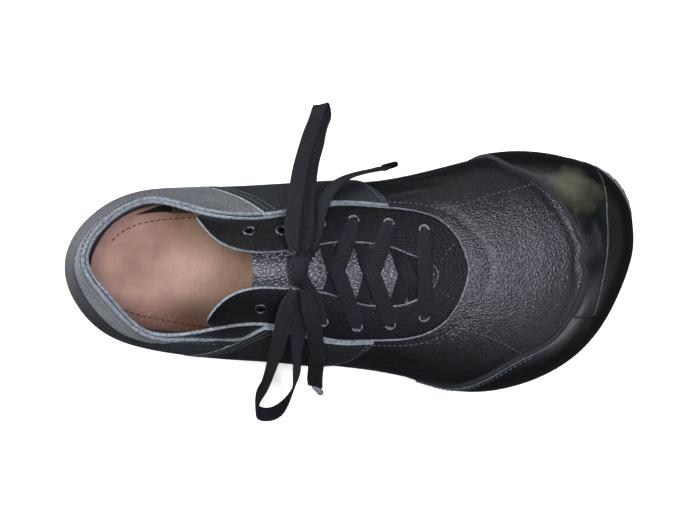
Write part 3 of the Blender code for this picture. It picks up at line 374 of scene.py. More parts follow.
def instep_height(x, y):
    crest = instep_shares(share_along(x))
    off_crest = y - crest[..., 2] * HALF_WIDTH
    return crest[..., 0] * INSTEP_HEIGHT - off_crest**2 / (2 * crest[..., 1] * HALF_WIDTH)


def over_instep(x, y, offset):
    """A point that far above the instep surface, along its normal."""
    x, y = np.broadcast_arrays(np.asarray(x, float), np.asarray(y, float))
    step = 0.0005
    slope_x = (instep_height(x + step, y) - instep_height(x - step, y)) / (2 * step)
    slope_y = (instep_height(x, y + step) - instep_height(x, y - step)) / (2 * step)
    normal = unit(np.stack([-slope_x, -slope_y, np.ones_like(slope_x)], axis=-1))
    return np.stack([x, y, instep_height(x, y)], axis=-1) + normal * np.asarray(offset)[..., None]


def smooth_step(share):
    return share**2 * (3 - 2 * share)


def topline_height(hour):
    """The height of the cut edge: the collar's own round the heel, the instep's along the throat."""
    at = topline(hour)
    clock = np.mod(np.asarray(hour) + 4, HOURS) + 20
    collar = collar_shares(clock)[..., 0] * HEEL_HEIGHT
    part = smooth_step(np.clip(np.abs(clock - HOURS) - 3, 0, 1))
    return collar + (instep_height(at[..., 0], at[..., 1]) - collar) * part


def last_point(hour, level):
    """The outer face of the upper, and past level 1 the instep as far as the lacing gap."""
    hour, level = np.broadcast_arrays(np.asarray(hour, float), np.asarray(level, float))
    foot_plan, top_plan = feather(hour), topline(hour)
    foot_z = spring(foot_plan[..., 0]) + SOLE_THICKNESS + GAP
    top_z = topline_height(hour)
    foot = np.concatenate([foot_plan, foot_z[..., None]], axis=-1)
    top = np.concatenate([top_plan, top_z[..., None]], axis=-1)
    lean = wall_shares(hour) * HEEL_HEIGHT
    foot_handle = np.concatenate([outward(feather, hour) * lean[..., 0:1], lean[..., 1:2]], axis=-1)
    top_handle = np.concatenate([outward(topline, hour) * lean[..., 2:3], -lean[..., 3:4]], axis=-1)
    t = np.clip(level, 0, 1)[..., None]
    wall = (1 - t) ** 3 * foot + 3 * (1 - t) ** 2 * t * (foot + foot_handle)
    wall += 3 * (1 - t) * t**2 * (top + top_handle) + t**3 * top
    past = np.clip(level - 1, 0, 1)[..., None]
    on_instep = top_plan + (plan(gap_shares(hour)) - top_plan) * past
    x, y = on_instep[..., 0], on_instep[..., 1]
    step_up = top_z - instep_height(top_plan[..., 0], top_plan[..., 1])
    z = instep_height(x, y) + step_up * (1 - past[..., 0]) ** 2
    return np.where(level[..., None] > 1, np.stack([x, y, z], axis=-1), wall)


def last_normal(hour, level):
    along = last_point(hour + 0.03, level) - last_point(hour - 0.03, level)
    lower, upper = np.clip(level - 0.012, 0, 2), np.clip(level + 0.012, 0, 2)
    return unit(np.cross(last_point(hour, upper) - last_point(hour, lower), along))


def sole_rim(hour):
    """The outsole's edge, standing out past the upper, a little more round the toe."""
    toe = np.clip(1 - np.abs(hour - 12.2) / 3.4, 0, 1)[..., None]
    return feather(hour) + outward(feather, hour) * (SOLE_LIP + (TOE_LIP - SOLE_LIP) * np.sqrt(toe))


def frame_shift():
    """How far the part moved its solids to stand over the origin, from the outsole's own box."""
    rim = sole_rim(np.arange(72) / 3)
    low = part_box("outsole")[0]
    return np.array([low.x - rim[:, 0].min(), low.y - rim[:, 1].min(), 0.0])


SHIFT = frame_shift()


def crease_line(places):
    """A crease's places as close points on the last, with how strong it is at each, fading to its ends."""
    table = np.array(places, float)
    curve = Spline(np.column_stack([np.linspace(0, 1, len(table)), table]))(np.linspace(0, 1, 25))
    return last_point(curve[:, 0], curve[:, 1]), np.sin(math.pi * np.linspace(0.06, 0.94, 25)) ** 0.7


CREASE_LINES = [(*crease_line(places), width, depth) for places, width, depth in CREASES]


def sunk_by_creases(points):
    """How far the leather lies under the last's own surface at each point."""
    flat = points.reshape(-1, 3)
    total = np.zeros(len(flat))
    for line, strength, width, depth in CREASE_LINES:
        near = np.linalg.norm(flat - line.mean(axis=0), axis=1) < 0.075
        far = np.linalg.norm(flat[near, None] - line[None], axis=2)
        total[near] += depth * strength[far.argmin(axis=1)] * np.exp(-((far.min(axis=1) / width) ** 2))
    return total.reshape(points.shape[:-1])


def dressed(hours, levels, distance):
    """Points at a distance over the creased leather, seated on the sole at level 0."""
    base, normal = last_point(hours, levels), last_normal(hours, levels)
    points = base + normal * (np.asarray(distance) - sunk_by_creases(base))[..., None]
    seat = spring(points[..., 0]) + SOLE_THICKNESS
    points[..., 2] = np.where(levels <= 0, seat, np.maximum(points[..., 2], seat))
    return points


# Making pieces
def srgb(code):
    """An sRGB hex colour as linear red, green, blue and alpha."""
    parts = [int(code[i : i + 2], 16) / 255 for i in (1, 3, 5)]
    return (*[v / 12.92 if v <= 0.04045 else ((v + 0.055) / 1.055) ** 2.4 for v in parts], 1.0)


def in_scene(name, data):
    made = bpy.data.objects.new(name, data)
    bpy.context.scene.collection.objects.link(made)
    return made


def smoothed(data, sharp):
    data.shade_smooth()
    data.set_sharp_from_angle(angle=math.radians(sharp))


def registered(name, data, slot, replaced=(), sharp=42):
    """A mesh as a named piece on the root body."""
    smoothed(data, sharp)
    made = in_scene(name, data)
    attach(made, "root")
    if replaced:
        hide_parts(*replaced)
    return made


def finished(name, points, faces, materials, slot, replaced=(), face_slots=None, sharp=42, weave=None):
    """A closed mesh, shifted into the frame, as a piece; weave gives each point its place in the cloth."""
    data = bpy.data.meshes.new(name)
    data.from_pydata((np.asarray(points) + SHIFT).tolist(), [], faces)
    for material in materials:
        data.materials.append(material)
    if face_slots is not None:
        data.polygons.foreach_set("material_index", np.asarray(face_slots, np.int32))
    if weave is not None:
        corners = np.zeros(len(data.loops), np.int32)
        data.loops.foreach_get("vertex_index", corners)
        data.uv_layers.new(name="weave").data.foreach_set("uv", weave[corners].ravel())
    work = bmesh.new()
    work.from_mesh(data)
    bmesh.ops.remove_doubles(work, verts=work.verts, dist=1e-7)
    bmesh.ops.recalc_face_normals(work, faces=work.faces)
    work.to_mesh(data)
    work.free()
    return registered(name, data, slot, replaced, sharp)


def loops_of(count, size):
    """Point numbers of that many closed loops, one after another, each of size points."""
    return [list(range(k * size, (k + 1) * size)) for k in range(count)]


def bands_of(loops):
    """Faces from each closed loop of point numbers to the next."""
    faces = []
    for first, second in zip(loops, loops[1:]):
        ahead, beside = first[1:] + first[:1], second[1:] + second[:1]
        faces += [(a, b, d, c) for a, b, c, d in zip(first, ahead, second, beside)]
    return faces


def tube_faces(count, size):
    """Faces of a tube of that many loops, with a flat face over each end."""
    loops = loops_of(count, size)
    return [tuple(reversed(loops[0])), tuple(loops[-1]), *bands_of(loops)]


def joined(meshes):
    """Several meshes, each of points and faces, as one."""
    points, faces, start = [], [], 0
    for mesh_points, mesh_faces in meshes:
        points.append(mesh_points)
        faces += [tuple(k + start for k in face) for face in mesh_faces]
        start += len(mesh_points)
    return np.concatenate(points), faces


def sheet_faces(columns, rows, wrap=False):
    """Faces and face slots of a sheet 0 and its back 2, and the column and row of each point on its edge."""
    count = columns * rows
    faces = []
    for i in range(columns if wrap else columns - 1):
        near, far = i * rows, (i + 1) % columns * rows
        for j in range(rows - 1):
            faces.append((near + j, near + j + 1, far + j + 1, far + j))
            faces.append(tuple(count + k for k in (near + j, far + j, far + j + 1, near + j + 1)))
    edge = [(i, rows - 1) for i in range(columns)] + [(columns - 1, j) for j in range(rows - 2, -1, -1)]
    edge += [(i, 0) for i in range(columns - 2, -1, -1)] + [(0, j) for j in range(1, rows - 1)]
    return faces, [0, 2] * (len(faces) // 2), edge


def panel_mesh(hours, levels, low, high, wrap=False, skive=0.0):
    """Points, faces and face slots of a cut panel: its outer face 0, a rounded raw edge 1 and its back 2.

    A skived edge slopes, and stands out by that share of the thickness at its foot.
    """
    outer, inner = dressed(hours, levels, high), dressed(hours, levels, low)
    columns, rows = levels.shape
    faces, slots, edge = sheet_faces(columns, rows, wrap)
    points = [outer.reshape(-1, 3), inner.reshape(-1, 3)]
    made = 2 * levels.size
    for edge in [[(i, j) for i in range(columns)] for j in (rows - 1, 0)] if wrap else [edge]:
        i, j = np.array(edge).T
        border, back = outer[i, j], inner[i, j]
        within = outer[i if wrap else np.clip(i, 1, columns - 2), np.clip(j, 1, rows - 2)]
        out = unit(border - within) * np.linalg.norm(border - back, axis=1, keepdims=True) * (j > 0)[:, None]
        rings = [(i * rows + j).tolist()]
        place_on = np.arange(len(edge))[:, None]
        ragged = 0.07 * np.sin(place_on * 1.7) + 0.06 * np.sin(place_on * 0.61 + 1)
        for share, bulge in [(0.14, 0.10), (0.5, 0.17), (0.86, 0.10)] + [(0.97, 0.0)] * (skive > 0):
            reach = bulge + skive * share + ragged * np.sin(math.pi * share)
            points.append(border + (back - border) * share + out * reach)
            rings.append(list(range(made, made + len(edge))))
            made += len(edge)
        rings.append((i * rows + j + levels.size).tolist())
        faces += bands_of(rings)
        slots += [1] * (len(faces) - len(slots))
    return np.concatenate(points), faces, slots


def panel(name, hours, levels, low, high, materials, slot, node, bands=None, **options):
    """A cut panel as a piece; bands gives a face slot for each cell of its outer face."""
    points, faces, slots = panel_mesh(hours, levels, low, high, **options)
    if bands is not None:
        slots[: 2 * bands.size : 2] = bands.ravel().tolist()
    return finished(name, points, faces, materials, slot, (node,), slots)


def cell_means(values):
    """The mean of a grid's values over each of its cells."""
    return (values[1:, 1:] + values[:-1, 1:] + values[1:, :-1] + values[:-1, :-1]) / 4


def close_at_ends(count, power=0.72):
    """Shares from 0 to 1, closer together near both ends."""
    even = np.linspace(0, 1, count)
    return even - power * np.sin(2 * math.pi * even) / (2 * math.pi)


def lathe(name, profile, centre, axis, sides, material, slot, replaced=()):
    """A closed profile of radii and heights turned round an axis through centre."""
    turn = np.array(Vector((0, 0, 1)).rotation_difference(Vector(axis).normalized()).to_matrix())
    angles = (np.arange(sides) * 2 * math.pi / sides)[:, None]
    radius, height = np.array(profile).T
    ring = np.stack([np.cos(angles) * radius, np.sin(angles) * radius, 0 * angles + height], axis=-1)
    loops = loops_of(sides, len(profile))
    points = ring.reshape(-1, 3) @ turn.T + centre
    return finished(name, points, bands_of(loops + loops[:1]), [material], slot, replaced)


# Materials. A pattern's Scale is how many of its grains lie in a metre, from the width of one grain
NOISE = "ShaderNodeTexNoise"
RAMP = "ShaderNodeMapRange"
MATH = "ShaderNodeMath"
COLOUR_MIX = {"kind": "ShaderNodeMix", "out": 2, "data_type": "RGBA"}
MILLIMETRE = 0.001


def fill(tree, node, values):
    """Gives inputs, by name or number, a number, a hex colour or the output that is linked to them."""
    for key, value in values.items():
        socket = node.inputs[key]
        if isinstance(value, bpy.types.NodeSocket):
            tree.links.new(value, socket)
        else:
            socket.default_value = srgb(value) if isinstance(value, str) else value


def add(tree, kind, *values, out=0, **named):
    """Adds a node and returns one of its outputs.

    Its first inputs take the values in order. A name in small letters is a setting, any other name an input.
    """
    node = tree.nodes.new(kind)
    inputs = dict(enumerate(values))
    for name, value in named.items():
        if name.islower():
            setattr(node, name, value)
        else:
            inputs[int(name[1:]) if name[0] == "_" else name.replace("_", " ")] = value
    fill(tree, node, inputs)
    return node.outputs[out]


def new_material(name, colour, roughness, **values):
    """A material with those values on its shader, and its node tree."""
    made = bpy.data.materials.new(name)
    made.use_nodes = True
    made.diffuse_color = srgb(colour)
    return finish_material(made, Base_Color=colour, Roughness=roughness, **values), made.node_tree


def finish_material(made, **values):
    named = {name.replace("_", " "): value for name, value in values.items()}
    fill(made.node_tree, made.node_tree.nodes["Principled BSDF"], named)
    return made


def grain(tree, place, pebble, stretch):
    """Height of pebbled hide: rounded pebbles of that size between fine furrows, with finer pores."""
    wander = add(tree, NOISE, out="Color", Vector=place, Scale=1 / (2.86 * MILLIMETRE), Detail=2.0)
    shifted = add(tree, "ShaderNodeVectorMath", wander, (0.0012,) * 3, place, operation="MULTIPLY_ADD")
    turned = add(tree, "ShaderNodeMapping", Vector=shifted, Rotation=(0, 0, 0.5), Scale=stretch)
    cell = {"feature": "SMOOTH_F1", "Vector": turned, "Scale": 1 / pebble, "Smoothness": 0.35}
    dome = add(tree, RAMP, add(tree, "ShaderNodeTexVoronoi", **cell), 0.15, 0.75, 1.0, 0.0)
    pores = add(tree, NOISE, Vector=place, Scale=1 / (0.385 * MILLIMETRE), Detail=3.0)
    return add(tree, MATH, pores, 0.08, dome, operation="MULTIPLY_ADD"), dome


def grained_leather(name, dark, light, roughness, pebble, depth, lit_side=None, stretch=GRAIN_WAY, **values):
    """Black milled cowhide, drum-dyed and waxed: pebbles glossier and painted lighter as a painted highlight,
    furrows duller and painted darker as painted shade.

    Where a second pair of colours is given, the hide goes over to it towards the inner side, as painted light
    falling from that side.
    """
    sheen = {"Sheen_Weight": 0.02, "Sheen_Roughness": 0.45, "Sheen_Tint": "#8f95b4"}
    made, tree = new_material(name, dark, roughness, **sheen, **values)
    place = add(tree, "ShaderNodeTexCoord", out="Object")
    height, dome = grain(tree, place, pebble, stretch)
    if lit_side:
        # Painted light: towards the inner side both colours go over to the lit pair
        over = add(tree, RAMP, add(tree, "ShaderNodeSeparateXYZ", place, out="Y"), -0.028, 0.018)
        pairs = zip((dark, light), lit_side)
        dark, light = [add(tree, **COLOUR_MIX, _0=over, _6=near, _7=far) for near, far in pairs]
    # Painted highlight and shade: the pebble tops take the light colour, the furrows keep the dark one
    tops = add(tree, RAMP, dome, 0.2, 1.0, 0.0, 0.75)
    cloud = add(tree, NOISE, Vector=place, Scale=1 / (26.3 * MILLIMETRE), Detail=4.0)
    worn = add(tree, RAMP, cloud, 0.42, 0.72, 0.0, 0.35)
    tint = add(tree, **COLOUR_MIX, _0=tops, _6=dark, _7=light)
    return finish_material(
        made,
        Base_Color=add(tree, **COLOUR_MIX, _0=worn, _6=tint, _7=light),
        Roughness=add(tree, RAMP, dome, 0.0, 1.0, roughness + 0.16, roughness - 0.03),
        Normal=add(tree, "ShaderNodeBump", Height=height, Distance=depth),
    )


def waxed_leather():
    """Smooth-grain calf of the toe cap, burnished with wax: near black, with soft clouds in its shine and an
    olive painted reflection on its inner side.
    """
    made, tree = new_material("waxed_calf", "#08090a", 0.24, Coat_Weight=0.35, Coat_Roughness=0.14)
    place = add(tree, "ShaderNodeTexCoord", out="Object")
    cloud = add(tree, NOISE, Vector=place, Scale=1 / (14.3 * MILLIMETRE), Detail=5.0)
    pores = add(tree, NOISE, Vector=place, Scale=1 / (0.526 * MILLIMETRE), Detail=2.0)
    # Painted reflection: an olive glow painted onto the cap, fading out from its place
    near = add(tree, "ShaderNodeMapping", Vector=place, Scale=OLIVE_REFLECTION_SHAPE)
    spot = add(tree, "ShaderNodeVectorMath", near, OLIVE_REFLECTION_PLACE, operation="DISTANCE", out="Value")
    patches = add(tree, NOISE, Vector=place, Scale=1 / (13.3 * MILLIMETRE), Detail=2.0)
    blotch = add(tree, RAMP, patches, 0.34, 0.66, -0.003, 0.003)
    painted_olive_reflection = add(tree, RAMP, add(tree, MATH, spot, blotch, operation="ADD"), -0.001, 0.0145, 0.72, 0.0)
    height = add(tree, MATH, cloud, pores, operation="ADD")
    return finish_material(
        made,
        Base_Color=add(tree, **COLOUR_MIX, _0=painted_olive_reflection, _6="#08090a", _7="#676a50"),
        Roughness=add(tree, RAMP, cloud, 0.35, 0.7, 0.20, 0.36),
        Normal=add(tree, "ShaderNodeBump", Height=height, Distance=0.00012),
    )


def tan_suede():
    """Insole of undyed tan split leather: a matt nap with small dark flecks, paler round the middle where it
    is rubbed and where painted light makes up for the upper's shade, and darker towards the outer side as
    painted shadow.
    """
    sheen = {"Sheen_Weight": 0.12, "Sheen_Tint": "#e8cfc2"}
    made, tree = new_material("tan_split_leather", "#cfae9f", 0.82, **sheen)
    place = add(tree, "ShaderNodeTexCoord", out="Object")
    flecks = add(tree, NOISE, Vector=place, Scale=1 / (1.25 * MILLIMETRE), Detail=5.0, Roughness=0.7)
    cloud = add(tree, NOISE, Vector=place, Scale=1 / (16.7 * MILLIMETRE), Detail=5.0)
    centre = add(tree, "ShaderNodeVectorMath", place, RUBBED_AND_LIT_PLACE, operation="DISTANCE", out="Value")
    across = add(tree, "ShaderNodeSeparateXYZ", place, out="Y")
    tint = add(tree, **COLOUR_MIX, _0=add(tree, RAMP, cloud, 0.38, 0.62), _6="#9c7868", _7="#b4907e")
    for pattern, limits, colour in (
        # Paler round the rubbed middle, moved forward as painted light against the shade under the upper
        (centre, (0.003, 0.028, 0.9, 0.0), "#dcbba6"),
        # Painted shadow: darker towards the outer side, where the collar's shade falls
        (across, (-0.011, -0.023, 0.0, 0.95), "#6f4f43"),
        (flecks, (0.48, 0.66, 0.0, 0.4), "#a58172"),
    ):
        tint = add(tree, **COLOUR_MIX, _0=add(tree, RAMP, pattern, *limits), _6=tint, _7=colour)
    nap = add(tree, "ShaderNodeBump", Height=flecks, Distance=0.0002)
    return finish_material(made, Base_Color=tint, Normal=nap)


def sole_rubber():
    """Dark vulcanised rubber from a textured mould: dull, finely pitted, worn grey on the toe's lip."""
    made, tree = new_material("moulded_rubber", "#1d1e21", 0.58)
    place = add(tree, "ShaderNodeTexCoord", out="Object")
    pits = add(tree, NOISE, Vector=place, Scale=1 / (0.909 * MILLIMETRE), Detail=4.0, Roughness=0.7)
    cloud = add(tree, NOISE, Vector=place, Scale=1 / (18.2 * MILLIMETRE), Detail=3.0)
    tint = add(tree, **COLOUR_MIX, _0=add(tree, RAMP, cloud, 0.35, 0.7), _6="#1a1b1e", _7="#2b2c31")
    scuff = add(tree, "ShaderNodeVectorMath", place, SCUFF_PLACE, operation="DISTANCE", out="Value")
    near = add(tree, RAMP, scuff, 0.018, 0.032, 1.0, 0.0)
    rubbed = add(tree, MATH, near, add(tree, RAMP, pits, 0.38, 0.52), operation="MULTIPLY")
    return finish_material(
        made,
        Base_Color=add(tree, **COLOUR_MIX, _0=rubbed, _6=tint, _7="#5f6365"),
        Roughness=add(tree, RAMP, pits, 0.3, 0.7, 0.5, 0.7),
        Normal=add(tree, "ShaderNodeBump", Height=pits, Distance=0.00015),
    )


def woven_polyester(name, colour, light):
    """Flat lace of dull-black braided yarn: crosswise ribs, crossed by yarns as a fine herringbone, with a
    painted highlight on the rib crests.
    """
    made, tree = new_material(name, colour, 0.62, Specular_IOR_Level=0.2, Sheen_Weight=0.02)
    weave = add(tree, "ShaderNodeUVMap", uv_map="weave")
    waves = []
    for axis, pitch in (("X", YARN_PITCH), ("Y", LACE_RIB)):
        along = add(tree, "ShaderNodeSeparateXYZ", weave, out=axis)
        turns = add(tree, MATH, along, 2 * math.pi * MILLIMETRE / pitch, operation="MULTIPLY")
        waves.append(add(tree, MATH, turns, operation="SINE"))
    rib = add(tree, MATH, *waves, waves[1], operation="MULTIPLY_ADD")
    height = add(tree, RAMP, rib, -2.0, 2.0)
    # Painted highlight: the rib crests take the lighter colour
    rib_crest_highlight = add(tree, RAMP, height, 0.25, 0.9)
    return finish_material(
        made,
        Base_Color=add(tree, **COLOUR_MIX, _0=rib_crest_highlight, _6=colour, _7=light),
        Normal=add(tree, "ShaderNodeBump", Height=height, Distance=0.00045),
    )


def dark_nickel():
    """Black-nickel plated brass, pressed and tumbled: smoky metal with a bright rolled rim."""
    made, tree = new_material("dark_nickel_plate", "#4a4c50", 0.38, Metallic=1.0)
    place = add(tree, "ShaderNodeTexCoord", out="Object")
    rub = add(tree, NOISE, Vector=place, Scale=1 / (1.11 * MILLIMETRE), Detail=3.0)
    return finish_material(made, Roughness=add(tree, RAMP, rub, 0.3, 0.7, 0.32, 0.5))


def fine_finish(name, colour, roughness, grain_width, detail, depth, light=None, **values):
    """A finish with one fine pattern of bumps, which go over to a lighter colour where one is given."""
    made, tree = new_material(name, colour, roughness, **values)
    place = add(tree, "ShaderNodeTexCoord", out="Object")
    coarse = 0.75 if light else 0.5
    pattern = add(tree, NOISE, Vector=place, Scale=1 / grain_width, Detail=detail, Roughness=coarse)
    if light:
        fibre = add(tree, RAMP, pattern, 0.35, 0.65)
        finish_material(made, Base_Color=add(tree, **COLOUR_MIX, _0=fibre, _6=colour, _7=light))
    return finish_material(made, Normal=add(tree, "ShaderNodeBump", Height=pattern, Distance=depth))


# Lighter pairs taken on towards the inner side of saddles and heel quarter: painted light falling from that
# side
SADDLE_LIT_PAIR = ("#111416", "#23272a")
HEEL_LIT_PAIR = ("#3a3d40", "#66696c")
HIDE = grained_leather("milled_cowhide", "#020304", "#0b0c10", 0.29, 0.00092, 0.00013)
DULL = {"Specular_IOR_Level": 0.24}
STAY_HIDE = grained_leather("eyestay_cowhide", "#040405", "#0f1113", 0.44, 0.0010, 0.0002, **DULL)
SIDE_HIDE = grained_leather("side_cowhide", "#07080a", "#1a1d21", 0.46, 0.0010, 0.00018, SADDLE_LIT_PAIR)
HEEL_HIDE = grained_leather("heel_cowhide", "#0d0f12", "#282d32", 0.58, 0.0009, 0.00014, HEEL_LIT_PAIR)
BAND_HIDE = grained_leather("folded_heel_band", "#4c5054", "#83878c", 0.62, 0.0008, 0.00014)
WET_LOOK = {"stretch": (0.75, 1.2, 1.0), "Specular_IOR_Level": 0.7}
# The tongue's pale pebble colour is a painted highlight standing for the shine of its glossy grain
TONGUE_HIDE = grained_leather("tongue_cowhide", "#101013", "#5c5c64", 0.28, 0.0012, 0.00024, **WET_LOOK)
WAXED = waxed_leather()
SUEDE = tan_suede()
RUBBER = sole_rubber()
# The lace's second colour is the painted highlight on its rib crests
LACE = woven_polyester("braided_lace", "#010102", "#20222c")
NICKEL = dark_nickel()
# Raw cut edges of dyed hide: open fibres, dull, and greyer and bluer than the face where no wax covers them
RAW = fine_finish("raw_cut_edge", "#3a4147", 0.88, 1.11 * MILLIMETRE, 5.0, 0.00025, "#949ca2")
DARK_RAW = fine_finish("waxed_cut_edge", "#080a0b", 0.88, 1.11 * MILLIMETRE, 5.0, 0.00025, "#1d2226")
RAND_RAW = fine_finish("rand_cut_edge", "#23282c", 0.88, 1.11 * MILLIMETRE, 5.0, 0.00025, "#566068")
# Black suede lining inside the walls: a dull nap that swallows light
NAP = {"Sheen_Weight": 0.05}
LINING = fine_finish("black_suede_lining", "#0b0b0c", 0.93, 0.667 * MILLIMETRE, 3.0, 0.0002, **NAP)
# Acetate film shrunk over a lace end: glossy, finely wrinkled, grey where it is bare and black over the lace
GLOSS = {"Coat_Weight": 0.5, "Coat_Roughness": 0.08}
FILM = fine_finish("bare_acetate_tip", "#7f868a", 0.22, 1.43 * MILLIMETRE, 2.0, 0.0001, **GLOSS)
BLACK_FILM = fine_finish("black_acetate_tip", "#0b0b0e", 0.22, 1.43 * MILLIMETRE, 2.0, 0.0001, **GLOSS)
# Bonded nylon thread, twisted and waxed: a small slanting highlight on each stitch
BLACK_THREAD = fine_finish("slate_thread", "#40474e", 0.5, 0.4 * MILLIMETRE, 1.0, 0.0001)
BROWN_THREAD = fine_finish("brown_thread", "#231210", 0.5, 0.4 * MILLIMETRE, 1.0, 0.0001)


# Camera and light
def make_camera():
    made = in_scene("view_from_above", bpy.data.cameras.new("view_from_above"))
    made.data.lens = 133.0
    made.location = (0.0, 0.004, 1.30)
    bpy.context.scene.camera = made


def make_studio():
    """Five soft boxes round the shoe, a dim white room, and a sheet of pale paper that glows a little."""
    for name, place, width, depth, power, colour in SOFT_BOXES:
        data = bpy.data.lights.new(name, "AREA")
        data.shape = "RECTANGLE"
        data.size, data.size_y = width, depth
        data.energy = power
        data.color = srgb(colour)[:3]
        made = in_scene(name, data)
        made.location = place
        made.rotation_euler = (Vector((0, 0, 0.03)) - Vector(place)).to_track_quat("-Z", "Y").to_euler()
    world = bpy.data.worlds.new("white_room")
    world.use_nodes = True
    tree = world.node_tree
    up = add(tree, "ShaderNodeSeparateXYZ", add(tree, "ShaderNodeTexCoord", out="Generated"), out="Z")
    sky = add(tree, RAMP, up, 0.05, 0.70, 0.33, 0.035)
    below = add(tree, RAMP, up, -0.10, 0.05, 0.10, 1.0)
    strength = add(tree, MATH, sky, below, operation="MULTIPLY")
    fill(tree, tree.nodes["Background"], {"Color": "#f1f4f8", "Strength": strength})
    bpy.context.scene.world = world
    bpy.context.scene.view_settings.view_transform = "Standard"
    paper, _ = new_material("lit_paper", "#ffffff", 0.9, Emission_Color="#ffffff", Emission_Strength=0.45)
    data = bpy.data.meshes.new("floor")
    corners = [(x, y, -0.0003) for x, y in ((-4, -4), (4, -4), (4, 4), (-4, 4))]
    data.from_pydata(corners, [], [(0, 1, 2, 3)])
    data.materials.append(paper)
    floor = in_scene("floor", data)
    floor.visible_glossy = False


# Laces
def bow_place(shares):
    """Shares of length, half width and instep height as a point in metres."""
    along, across, up = np.moveaxis(np.asarray(shares, float), -1, 0)
    return np.stack([(along - 0.5) * LENGTH, across * HALF_WIDTH, up * INSTEP_HEIGHT], axis=-1)


def run_lengths(points):
    return np.concatenate([[0], np.cumsum(np.linalg.norm(np.diff(points, axis=0), axis=1))])


def woven_mesh(route, sides, widths, thickness=LACE_THICKNESS, cup=0.0):
    """A flat lace with crosswise ribs along a route: points, each with its place in the weave, and faces."""
    run = run_lengths(route)
    even = np.linspace(0, run[-1], int(run[-1] / (LACE_RIB / 4)))
    route = np.stack([np.interp(even, run, line) for line in route.T], axis=1)
    sides = np.stack([np.interp(even, run, line) for line in sides.T], axis=1)
    widths = np.interp(even, run, widths)
    along = unit(np.gradient(route, axis=0))
    sides = unit(sides - along * np.sum(sides * along, axis=1, keepdims=True))
    up = np.cross(along, sides)
    wave = np.cos(even * 2 * math.pi / LACE_RIB)
    half = (widths / 2 * (0.99 + 0.01 * wave))[:, None, None]
    thick = thickness * (0.82 + 0.18 * wave) * np.sqrt(LACE_WIDTH / np.maximum(widths, 0.002))
    section = np.array([(1.0, 0.0), *LACE_SHOULDER, (-1.0, 0.0), *[(-a, -b) for a, b in LACE_SHOULDER]])
    a, b = section[None, :, 0:1], section[None, :, 1:2]
    rise = b * thick[:, None, None] - cup * (a**2 - 0.4) * half
    points = route[:, None] + sides[:, None] * a * half + up[:, None] * rise
    weave = np.stack(np.broadcast_arrays(a[..., 0] * LACE_WIDTH / 2, even[:, None]), axis=-1) / MILLIMETRE
    return np.concatenate([points, weave], axis=-1).reshape(-1, 5), tube_faces(len(even), len(section))


def woven_piece(name, meshes, node):
    """Woven meshes as one piece, with their weave kept as a UV map in millimetres."""
    points, faces = joined(meshes)
    weave = points[:, 3:]
    return finished(name, points[:, :3], faces, [LACE], "lace_cotton", (node,), sharp=70, weave=weave)


def bow_lace(name, node, table, far_end):
    """A free lace of the bow, a little cupped, narrowed where the knot holds it."""
    table = np.asarray(table, float)
    points = bow_place(table[:, :3])
    run = run_lengths(points)
    curve = Spline(np.column_stack([run, points, table[:, 3:]]))
    dense = curve(np.linspace(0, run[-1], int(run[-1] / ROUTE_STEP)))
    route, ways = dense[:, :3], unit(dense[:, 3:])
    run = run_lengths(route)
    nipped = np.exp(-((run / 0.006) ** 2)) + np.exp(-(((run[-1] - run) / 0.006) ** 2)) * (far_end == "object")
    piece = woven_piece(name, [woven_mesh(route, ways, LACE_WIDTH * (1 - 0.38 * nipped), cup=0.04)], node)


def aglet(name, node, table, way, film):
    """The film tip, a tube rolled round the lace end, with a rounded mouth at both ends."""
    start, stop, r = AGLET_STEP, AGLET_STEP + AGLET_LENGTH, AGLET_RADIUS
    profile = [(0.00002, start - 0.0012), (r * 0.9, start - 0.0012), (r * 1.03, start - 0.0006)]
    profile += [(r, start + 0.0008), (r * 0.93, (start + stop) / 2), (r * 0.9, stop - 0.001)]
    profile += [(r * 0.72, stop - 0.0001), (0.00002, stop)]
    return lathe(name, profile, bow_place(table[-1][:3]), way, 24, film, "aglet_plastic", (node,))


def gap_sides(x):
    """The inner and outer y of the lacing gap at x."""
    edge = plan(gap_shares(np.linspace(3.9, 20.1, 400)))
    split = int(np.argmax(edge[:, 0]))
    inner, outer = edge[: split + 1], edge[split:][::-1]
    return np.interp(x, inner[:, 0], inner[:, 1]), np.interp(x, outer[:, 0], outer[:, 1])


def hole_axis(x, y):
    """A lace hole's place on the last and the way it is punched, by small steps from a coarse search."""
    grid = np.linspace(LACING_GAP[0][0], LACING_GAP[-1][0], 240), np.linspace(1, 2, 24)
    hours, levels = np.meshgrid(*grid, indexing="ij")
    far = np.linalg.norm(last_point(hours, levels)[..., :2] - np.array([x, y]), axis=-1)
    nearest = np.unravel_index(np.argmin(far), far.shape)
    at = np.array([hours[nearest], levels[nearest]])
    for _ in range(12):
        here = last_point(*at)[:2]
        by_hour = (last_point(at[0] + 0.01, at[1])[:2] - here) / 0.01
        by_level = (here - last_point(at[0], at[1] - 0.01)[:2]) / 0.01
        at = at + np.linalg.solve(np.stack([by_hour, by_level], axis=1), np.array([x, y]) - here)
    return last_point(*at), last_normal(*at)


HOLES = {"inner": plan(np.array(HOLES_INNER)), "outer": plan(np.array(HOLES_OUTER))}


def punched_holes():
    """Each lace hole: its side, its number from the toe, its place and the way it is punched."""
    for side, row in HOLES.items():
        for k, (x, y) in enumerate(row):
            yield side, k, *hole_axis(x, y)


def smooth_route(points):
    """A route eased through its points, and the length run at each place of it."""
    run = run_lengths(points)
    route = Spline(np.column_stack([run, points]))(np.linspace(0, run[-1], int(run[-1] / ROUTE_STEP)))
    return route, run_lengths(route)


def level_sides(route, start, end):
    """The way across a lace that lies level from start to end, once for each place of its route."""
    return np.tile(unit(np.cross([0, 0, 1], np.append(end - start, 0))), (len(route), 1))


